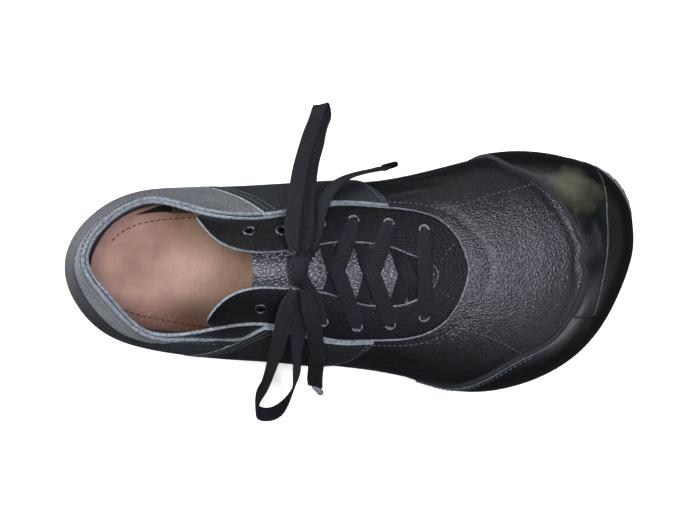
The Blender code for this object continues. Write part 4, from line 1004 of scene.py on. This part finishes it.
def laced_strand(start, end, start_height, end_height, lift, from_top, to_top):
    """A lace from one hole to another: through it, over or under each facing, and through the other."""
    inset = 0.0034 / np.linalg.norm(end - start)
    xy = start + (end - start) * np.linspace(inset, 1 - inset, 11)[:, None]
    inner, outer = gap_sides(xy[:, 0])
    near, far = (inner, outer) if start[1] > end[1] else (outer, inner)
    across = np.clip(((xy[:, 1] - near) * np.sign(far - near) - 0.002) / (np.abs(far - near) - 0.004), 0, 1)
    heights = start_height + (end_height - start_height) * smooth_step(across)
    route = over_instep(xy[:, 0], xy[:, 1], heights + lift * np.sin(math.pi * across) ** 2)
    ends = []
    for (hole, way), top in ((hole_axis(*start), from_top), (hole_axis(*end), to_top)):
        inside, mouth = (-0.0046, -0.0022) if top else (-0.0012, -0.0038)
        ends.append((hole + way * inside, hole + way * mouth))
    route, run = smooth_route(np.concatenate([ends[0], route, ends[1][::-1]]))
    from_end = np.minimum(run, run[-1] - run)
    widths = 0.0044 + (LACE_WIDTH - 0.0044) * np.clip((from_end - 0.0028) / 0.0050, 0, 1) ** 0.6
    return woven_mesh(route, level_sides(route, start, end), widths, cup=0.05)


def make_lacing():
    inner, outer = HOLES.values()
    bar = laced_strand(inner[0], outer[0], LACE_ON, LACE_ON, 0.0, True, True)
    woven_piece("bar_lace", [bar], "lace_bar")
    for k in range(PLAIN_PAIRS - 1):
        over = k > 0
        begin, rise = (LACE_ON, 0.0) if over else (LACE_UNDER, 2 * LACE_PART)
        first = laced_strand(inner[k], outer[k + 1], begin, LACE_UNDER, rise - LACE_PART, over, False)
        second = laced_strand(outer[k], inner[k + 1], begin, LACE_UNDER, rise + LACE_PART, over, False)
        woven_piece(f"crossed_laces_{k + 1}", [first, second], f"lace_cross_{k + 1}")


def knot_meshes():
    """The band wound round the bow's middle, turns under it, and the laces that run up from holes four."""
    centre = bow_place(KNOT_PLACE)
    meshes = []
    for shift, long, tall, lean, width in KNOT_TURNS:
        angle = np.linspace(0, 2 * math.pi * 1.02, 120)
        x = shift + lean * long * 0.25 * np.cos(angle)
        route = centre + np.stack([x, long * np.cos(angle), tall * np.sin(angle)], axis=1)
        sides = np.tile([1.0, -lean * 0.5, 0.0], (len(route), 1))
        widths = width * (1 - 0.10 * np.sin(angle) ** 2)
        meshes.append(woven_mesh(route, sides, widths, LACE_THICKNESS * 0.9, cup=0.10))
    for row in HOLES.values():
        start = row[PLAIN_PAIRS - 1]
        xy = start + (centre[:2] - start) * np.linspace(0.2, 0.92, 8)[:, None]
        route = over_instep(xy[:, 0], xy[:, 1], LACE_ON + np.linspace(0, 0.0012, 8))
        hole, way = hole_axis(*start)
        route, run = smooth_route(np.concatenate([[hole + way * -0.0044, hole + way * -0.0022], route]))
        widths = 0.0040 + (LACE_WIDTH - 0.0040) * np.clip((run - 0.0028) / 0.0075, 0, 1) ** 0.7
        widths *= 1 - 0.35 * np.clip((run - run[-1] * 0.6) / (run[-1] * 0.4), 0, 1)
        meshes.append(woven_mesh(route, level_sides(route, start, centre[:2]), widths, cup=0.08))
    return meshes


def make_bow():
    knot = woven_piece("tied_knot", knot_meshes(), "lace_knot")
    inner_tip = aglet("inner_tip", "aglet_inner", END_INNER, AGLET_INNER_WAY, BLACK_FILM)
    outer_tip = aglet("outer_tip", "aglet_outer", END_OUTER, AGLET_OUTER_WAY, FILM)
    bow_lace("inner_loop", "lace_loop_inner", LOOP_INNER, "object")
    bow_lace("outer_loop", "lace_loop_outer", LOOP_OUTER, "object")
    bow_lace("inner_end", "lace_end_inner", END_INNER, "fitting")
    bow_lace("outer_end", "lace_end_outer", END_OUTER, "fitting")


# Upper and its panels
def make_upper():
    rows = np.concatenate([np.linspace(0, 0.96, 84), [0.972, 0.984, 0.993, 1.0]])
    hours, levels = np.meshgrid(np.arange(HOURS * 15) / 15, rows, indexing="ij")
    materials = [HIDE, RAW, LINING]
    panel("vamp_and_quarters", hours, levels, -WALL, 0.0, materials, "black_leather", "upper", wrap=True)


def make_toe_cap():
    first, last = CAP_EDGE[0][0], CAP_EDGE[-1][0]
    hours = (first + (last - first) * close_at_ends(170, 0.5))[:, None] * np.ones(46)
    levels = cap_edge(hours)[..., 0] * close_at_ends(46)
    border = 0.003 + 0.020 * np.exp(-(((hours - 13.4) / 1.1) ** 2))
    bands = (cell_means(levels - levels[:, -1:] + border) > 0) * 1
    grid = hours, levels, -SUNK, OVERLAY
    panel("toe_cap_calf", *grid, [WAXED, DARK_RAW, LINING], "smooth_leather", "toe_cap", bands, skive=0.5)


def make_toe_rand():
    """The thin strip over the cap, whose raw edge shows pale on the outer side alone."""
    before = np.linspace(RAND_EDGE[0][0], RAND_CORNER, 100)
    after = np.linspace(RAND_CORNER + 0.03, RAND_END, 110)
    tops = np.concatenate([rand_edge(before)[:, 0], cap_edge(after)[:, 0] - 0.012])
    hours = np.concatenate([before, after])[:, None] * np.ones(24)
    levels = tops[:, None] * close_at_ends(24)
    points, faces, slots = panel_mesh(hours, levels, OVERLAY - SUNK, OVERLAY + RAND)
    for k, face in enumerate(faces):
        if slots[k] == 1 and points[list(face)].mean(axis=0)[1] > 0.031:
            slots[k] = 0
    materials = [WAXED, RAND_RAW, LINING]
    finished("toe_rand_strip", points, faces, materials, "smooth_leather", ("toe_rand",), slots)


def make_saddle(name, node, back, front):
    levels = np.ones(46)[:, None] * close_at_ends(40) * SADDLE_TOP
    start, end = [Spline(table)(levels)[..., 0] for table in (back, front)]
    hours = start + (end - start) * close_at_ends(46, 0.5)[:, None]
    panel(name, hours, levels, -SUNK, OVERLAY, [SIDE_HIDE, RAW, LINING], "black_leather", node, skive=0.5)


def make_heel_quarter():
    """The outer heel panel: folded bands round its top, with grooves between them painted black as painted
    shade, over one plain field.
    """
    outer_end, inner_end = Spline(SADDLE_OUTER_BACK), Spline(SADDLE_INNER_BACK)
    up = np.ones((200, 1)) * close_at_ends(150, 0.25)
    levels = up
    for _ in range(4):
        start = outer_end(levels)[..., 0] + 0.045
        end = inner_end(levels)[..., 0] + HOURS - 0.045
        hours = start + (end - start) * close_at_ends(200, 0.5)[:, None]
        levels = up * heel_quarter_top(hours)[..., 0]
    fade = np.clip((hours - 20.4) / 0.5, 0, 1) * np.clip((25.9 - hours) / 0.9, 0, 1)
    above = levels[..., None] - Spline(HEEL_GROOVES)(hours)
    depths, widths = np.array([0.0009, 0.0010, 0.0015]), np.array([0.011, 0.011, 0.016])
    sunk = np.sum(depths * np.exp(-((above / widths) ** 2)), axis=-1) * fade
    faded = cell_means(fade) > 0.15
    over = np.stack([cell_means(above[..., k]) for k in range(3)], axis=-1)
    taper = 0.34 * np.clip((22.7 - cell_means(hours)) / 1.4, 0, 1)
    bands = np.where((over[..., 2] > taper) & faded, 3, 0)
    # Painted shade: cells along the grooves take the black lining's material
    groove_shade = (np.abs(over) < np.array([0.0055, 0.0060, 0.0130])).any(axis=-1)
    bands = np.where(groove_shade & faded, 2, bands)
    materials = [HEEL_HIDE, RAW, LINING, BAND_HIDE]
    grid = np.mod(hours, HOURS), levels, -SUNK, OVERLAY - sunk
    panel("heel_quarter_hide", *grid, materials, "black_leather", "heel_quarter", bands)


def drill(centre, axis, radius, low, high, sides):
    first = unit(np.cross(axis, [1.0, 0.0, 0.0]))
    angles = (np.arange(sides) * 2 * math.pi / sides)[:, None]
    ring = centre + (np.cos(angles) * first + np.sin(angles) * np.cross(axis, first)) * radius
    return np.concatenate([ring + axis * low, ring + axis * high]), tube_faces(2, sides)


def make_facing():
    """The laced eyestay, tucked under the throat's cut edge, with its holes punched through."""
    rows = np.concatenate([[1 - TUCK_LEVEL, 0.92], 1 + close_at_ends(16)])
    columns = np.linspace(LACING_GAP[0][0], LACING_GAP[-1][0], 210)
    hours, levels = np.meshgrid(columns, rows, indexing="ij")
    materials = [STAY_HIDE, RAW, LINING]
    facing = panel("eyestay", hours, levels, FACING_BOTTOM, FACING_TOP, materials, "black_leather", "facing")
    drills = [drill(centre, way, HOLE_RADIUS, -0.008, 0.002, 28) for _, _, centre, way in punched_holes()]
    points, faces = joined(drills)
    data = bpy.data.meshes.new("drills")
    data.from_pydata((points + SHIFT).tolist(), [], faces)
    for material in materials:
        data.materials.append(material)
    data.polygons.foreach_set("material_index", np.ones(len(faces), np.int32))
    work = bmesh.new()
    work.from_mesh(data)
    bmesh.ops.recalc_face_normals(work, faces=work.faces)
    work.to_mesh(data)
    work.free()
    tool = in_scene("drills", data)
    change = facing.modifiers.new("punched", "BOOLEAN")
    change.operation = "DIFFERENCE"
    change.solver = "EXACT"
    change.object = tool
    punched = bpy.data.meshes.new_from_object(facing.evaluated_get(bpy.context.evaluated_depsgraph_get()))
    facing.modifiers.remove(change)
    facing.data = punched
    bpy.data.objects.remove(tool)
    smoothed(punched, 42)


def make_holes():
    """The pale rims of the punched holes, and the metal eyelets of the top two pairs."""
    top, back, r = FACING_TOP, FACING_BOTTOM, HOLE_RADIUS
    rim = [(r - 0.0003, top - 0.0005), (r + 0.0001, top - 0.0005), (r + 0.00035, top)]
    rim += [(r + 0.0001, top + 0.00016), (r - 0.0002, top + 0.00010)]
    bore, flange, under = 0.0016, 0.0034, 0.0030
    ring = [(bore, back - 0.0006), (under - 0.0004, back - 0.0006), (under, back - 0.0001)]
    ring += [(r - 0.0002, back + 0.0001), (r - 0.0002, top - 0.0001), (flange - 0.0002, top)]
    ring += [(flange, top + 0.00015), (flange - 0.0002, top + 0.00045), (flange - 0.0007, top + 0.00065)]
    ring += [(bore + 0.0006, top + 0.00055), (bore + 0.0002, top + 0.00025), (bore, top - 0.0003)]
    for side, k, centre, way in punched_holes():
        end = f"{side}_{k + 1}"
        if k < PLAIN_PAIRS:
            lathe(f"punched_rim_{end}", rim, centre, way, 28, RAW, "black_leather")
        else:
            lathe(f"eyelet_ring_{end}", ring, centre, way, 40, NICKEL, "eyelet_nickel", (f"eyelet_{end}",))


def make_tongue():
    """A soft tongue with a hollow back end, crowned between the facings."""
    columns, rows = 110, 44
    across = np.linspace(-1, 1, rows)[None, :]
    back = TONGUE_BACK + TONGUE_HOLLOW * (1 - across**2)
    x = (back + (TONGUE_FRONT - back) * close_at_ends(columns, 0.3)[:, None] - 0.5) * LENGTH
    inner, outer = gap_sides(x)
    half = (inner - outer) / 2 + TONGUE_TUCK
    y = (inner + outer) / 2 + half * across
    shown = np.clip(half - TONGUE_TUCK - 0.002, 0.001, None)
    swell = 0.0007 * np.clip(1 - (across * half / shown) ** 2, 0, 1)
    ripple = 0.00025 * np.sin(x * 420 + 1.2) * np.clip(1 - across**2, 0, 1)
    top = over_instep(x, y, TONGUE_TOP + swell * 0.6 + ripple * 0.5)
    bottom = over_instep(x, y, TONGUE_TOP - TONGUE_THICKNESS + swell)
    points = np.concatenate([top.reshape(-1, 3), bottom.reshape(-1, 3)])
    faces, slots, edge = sheet_faces(columns, rows)
    upper = [i * rows + j for i, j in edge]
    faces += bands_of([upper, [k + columns * rows for k in upper]])
    slots += [1] * len(edge)
    finished("soft_tongue", points, faces, [TONGUE_HIDE, RAW, LINING], "black_leather", ("tongue",), slots)


# Sole and insole
def closed_rings(rings):
    """Points and faces of rings round the sole, with both ends closed by strips across."""
    count = len(rings[0])
    faces = bands_of(loops_of(len(rings), count))
    for start in (0, (len(rings) - 1) * count):
        for i in range(count // 2):
            corners = tuple(dict.fromkeys(start + k % count for k in (i, i + 1, count - i - 1, count - i)))
            faces += [corners] * (len(corners) > 2)
    return np.concatenate(rings), faces


def ring_inside(edge, share, height):
    """A smaller ring towards the middle line of the sole, at a height over its curled-up under side."""
    spine = np.stack([np.clip(edge[:, 0], -0.30 * LENGTH, 0.28 * LENGTH), np.zeros(len(edge))], axis=-1)
    ring = spine + (edge - spine) * share
    return np.column_stack([ring, spring(ring[:, 0]) + height])


def zigzag(y):
    """The tread's wave across the sole, as a shift along it."""
    corners, shifts = np.array(ZIGZAG).T * HALF_WIDTH
    return np.interp(y, corners, shifts)


def rib(x, ys, width):
    """One closed zigzag rib across the sole, narrowed at its ends."""
    at = (x + zigzag(ys))[:, None]
    ends = np.where((ys == ys[0]) | (ys == ys[-1]), 0.45, 1.0)[:, None]
    side, z, spread = np.array(RIB_SECTION).T
    x_and_rest = at + side * width / 2 * spread * ends, ys[:, None], z + spring(at)
    points = np.stack(np.broadcast_arrays(*x_and_rest), axis=-1)
    return points.reshape(-1, 3), tube_faces(len(ys), 4)


def tread_ribs():
    """Zigzag ribs under the sole, wide and narrow by turns, broken along a line towards the outer side."""
    rim = sole_rim(np.linspace(0, 24, 800))
    tip = int(np.argmax(rim[:, 0]))
    heel_x, toe_x = rim[:, 0].min(), rim[:, 0].max()
    inner, outer = rim[: tip + 1], rim[tip:][::-1]
    ys = np.arange(-1.10, 1.101, 0.02) * HALF_WIDTH
    ribs = []
    for zone in (0, 1):
        first = heel_x - 0.012 + zone * RIB_PERIOD * 0.5
        for k in range(int((toe_x - heel_x + 0.024) / RIB_PERIOD)):
            for offset, width in ((0.0, 0.0030), (0.5, 0.0015)):
                x = first + (k + offset) * RIB_PERIOD + (0.0004 if offset else 0.0)
                at = x + zigzag(ys)
                from_break = ys - (-0.30 + 0.10 * np.sin(at * 38)) * HALF_WIDTH
                kept = (from_break < -0.0006) if zone else (from_break > 0.0006)
                kept &= (heel_x + TREAD_BORDER < at) & (at < toe_x - TREAD_BORDER)
                kept &= ys < np.interp(at, inner[:, 0], inner[:, 1]) - TREAD_BORDER
                kept &= ys > np.interp(at, outer[:, 0], outer[:, 1]) + TREAD_BORDER
                for run in np.split(np.arange(len(ys)), np.flatnonzero(np.diff(kept)) + 1):
                    if kept[run[0]] and len(run) > 2:
                        ribs.append(rib(x, ys[run], width))
    return ribs


def make_outsole():
    """A thin rubber sheet with a rounded side and zigzag ribs under it, its lip turned out at the big toe."""
    hours = np.arange(240) * HOURS / 240
    out = outward(feather, hours)
    turned_out = 0.0021 * np.exp(-(((hours - 10.5) / 0.9) ** 2)) * (1 + 0.12 * np.sin(hours * 23))
    edge = sole_rim(hours) + out * turned_out[:, None]
    rings = [ring_inside(edge, 0.90, RIB_HEIGHT)]
    rings += [ring_inside(edge + out * inset, 1.0, height) for inset, height in SOLE_SIDE]
    rings.append(ring_inside(edge, 0.92, SOLE_THICKNESS))
    points, faces = joined([closed_rings(rings), *tread_ribs()])
    finished("tread_sole", points, faces, [RUBBER], "sole_rubber", ("outsole",), sharp=35)


def make_insole():
    """The tan footbed, flat with a rounded edge."""
    hours = np.arange(480) * HOURS / 480
    inset = np.interp(hours, *np.array(BED_INSET).T, period=HOURS)
    flat = feather(hours) - outward(feather, hours) * inset[:, None]
    rings = [ring_inside(flat, share, SOLE_THICKNESS + GAP + height) for share, height in BED_SIDE]
    finished("tan_footbed", *closed_rings(rings), [SUEDE], "tan_leather", ("insole",), sharp=60)


def make_slit_shade_sheet():
    """A black sheet of lining material laid over the footbed's inner edge, as painted shade in the slit
    between lining and footbed.
    """
    fold = Spline(np.column_stack([range(4), SLIT_SHADE_SHEET[:4], SLIT_SHADE_SHEET[4:]]))(np.linspace(0, 3, 30))
    lower, upper = fold[:, :2], fold[:, 2:]
    bed = SOLE_THICKNESS + GAP + INSOLE_THICKNESS
    section = [(lower, -0.0008), (upper, -0.0008), (upper, 0.0004), (lower, 0.0004)]
    points = np.stack([np.column_stack([side, np.full(30, bed + up)]) for side, up in section], axis=1)
    finished("slit_shade_sheet", points.reshape(-1, 3), tube_faces(30, 4), [LINING], "black_leather")


# Stitches
def stitch_tree():
    """Geometry nodes that lay one small stitch at every pitch along the curves."""
    tree = bpy.data.node_groups.new("row_of_stitches", "GeometryNodeTree")
    sockets = {}
    kinds = {"Seams": "Geometry", "Pitch": "Float", "Stitch Length": "Float", "Thread Radius": "Float"}
    for name, kind in {**kinds, "Thread": "Material"}.items():
        sockets[name] = tree.interface.new_socket(name, in_out="INPUT", socket_type=f"NodeSocket{kind}")
    tree.interface.new_socket("Stitches", in_out="OUTPUT", socket_type="NodeSocketGeometry")
    sizes = add(tree, "NodeGroupInput").node.outputs
    even = add(tree, "GeometryNodeResampleCurve", Curve=sizes["Seams"], Length=sizes["Pitch"], mode="LENGTH")
    tangent = add(tree, "GeometryNodeInputTangent")
    aimed = add(tree, "FunctionNodeAlignRotationToVector", Vector=tangent, axis="X")
    bead = add(tree, "GeometryNodeMeshUVSphere", 6, 5, 1.0)
    half = add(tree, MATH, sizes["Stitch Length"], 0.5, operation="MULTIPLY")
    size = add(tree, "ShaderNodeCombineXYZ", half, sizes["Thread Radius"], sizes["Thread Radius"])
    laid = {"Points": even, "Instance": bead, "Rotation": aimed, "Scale": size}
    real = add(tree, "GeometryNodeRealizeInstances", add(tree, "GeometryNodeInstanceOnPoints", **laid))
    coloured = add(tree, "GeometryNodeSetMaterial", Geometry=real, Material=sizes["Thread"])
    fill(tree, tree.nodes.new("NodeGroupOutput"), {"Stitches": coloured})
    return tree, {name: socket.identifier for name, socket in sockets.items()}


def stitches(name, seams, pitch, length, radius, thread, slot):
    """Every seam line of one thread as a single piece of small stitches."""
    data = bpy.data.curves.new(name + "_lines", "CURVE")
    data.dimensions = "3D"
    for line in seams:
        spline = data.splines.new("POLY")
        spline.points.add(len(line) - 1)
        spline.points.foreach_set("co", np.column_stack([line + SHIFT, np.ones(len(line))]).ravel())
    lines = in_scene(name + "_lines", data)
    tree, names = stitch_tree()
    change = lines.modifiers.new("stitches", "NODES")
    change.node_group = tree
    sizes = {"Pitch": pitch, "Stitch Length": length, "Thread Radius": radius, "Thread": thread}
    for key, value in sizes.items():
        change[names[key]] = value
    sewn = bpy.data.meshes.new_from_object(lines.evaluated_get(bpy.context.evaluated_depsgraph_get()))
    lines.modifiers.remove(change)
    bpy.data.objects.remove(lines)
    sewn.name = name
    registered(name, sewn, slot, sharp=180)


def seam(places, distance):
    """A seam line through hours and levels, at a distance over the leather."""
    table = np.array(places, float)
    run = run_lengths(last_point(table[:, 0], table[:, 1]))
    curve = Spline(np.column_stack([run, table]))(np.linspace(0, run[-1], 400))
    return dressed(curve[:, 0], curve[:, 1], np.full(400, distance))


def edge_seam(edge, first, last, drop, distance):
    """A seam line that follows an edge of levels by hour, that far down from it in level."""
    hours = np.linspace(first, last, 500)
    return dressed(np.mod(hours, HOURS), edge(hours)[..., 0] - drop, np.full(500, distance))


def saddle_seam(edge, inset):
    """A seam line up a saddle panel, inside its leaning end by that part of an hour."""
    levels = np.linspace(0.04, 0.95, 300)
    return dressed(Spline(edge)(levels)[:, 0] + inset, levels, np.full(300, OVERLAY + STITCH_REST))


def make_stitches():
    on_panel = OVERLAY + STITCH_REST
    seams = [edge_seam(lambda hours: np.ones((len(hours), 1)), 4.3, 19.6, 0.055, STITCH_REST)]
    seams += [seam(places, STITCH_REST) for places in VAMP_SEAMS]
    seams.append(edge_seam(cap_edge, 14.8, 17.3, 0.030, on_panel + RAND))
    seams += [saddle_seam(SADDLE_INNER_BACK, inset) for inset in (0.09, 0.20)]
    seams.append(saddle_seam(SADDLE_INNER_FRONT, -0.10))
    seams += [saddle_seam(SADDLE_OUTER_BACK, -inset) for inset in (0.09, 0.20)]
    seams.append(saddle_seam(SADDLE_OUTER_FRONT, 0.10))
    seams.append(edge_seam(heel_quarter_top, 20.9, 27.4, 0.05, on_panel))
    for start, end in STAY_SEAMS:
        x, y = np.linspace(start, end, 60).T
        seams.append(over_instep(x, y, FACING_TOP + STITCH_REST))
    stitches("upper_stitches", seams, 0.0026, 0.0021, 0.00028, BLACK_THREAD, "black_leather")
    footbed = []
    for first, last in ((0.85, 10.6), (13.6, 22.7)):
        hours = np.linspace(first, last, 500)
        at = feather(hours) - outward(feather, hours) * 0.0108
        z = spring(at[:, 0]) + SOLE_THICKNESS + GAP + INSOLE_THICKNESS + 0.0001
        footbed.append(np.column_stack([at, z]))
    stitches("footbed_stitches", footbed, 0.0031, 0.0027, 0.00034, BROWN_THREAD, "tan_leather")


make_camera()
make_bow()
make_studio()
make_lacing()
make_outsole()
make_insole()
make_slit_shade_sheet()
make_upper()
make_toe_cap()
make_toe_rand()
make_saddle("inner_saddle", "saddle_inner", SADDLE_INNER_BACK, SADDLE_INNER_FRONT)
make_saddle("outer_saddle", "saddle_outer", SADDLE_OUTER_BACK, SADDLE_OUTER_FRONT)
make_heel_quarter()
make_facing()
make_holes()
make_tongue()
make_stitches()
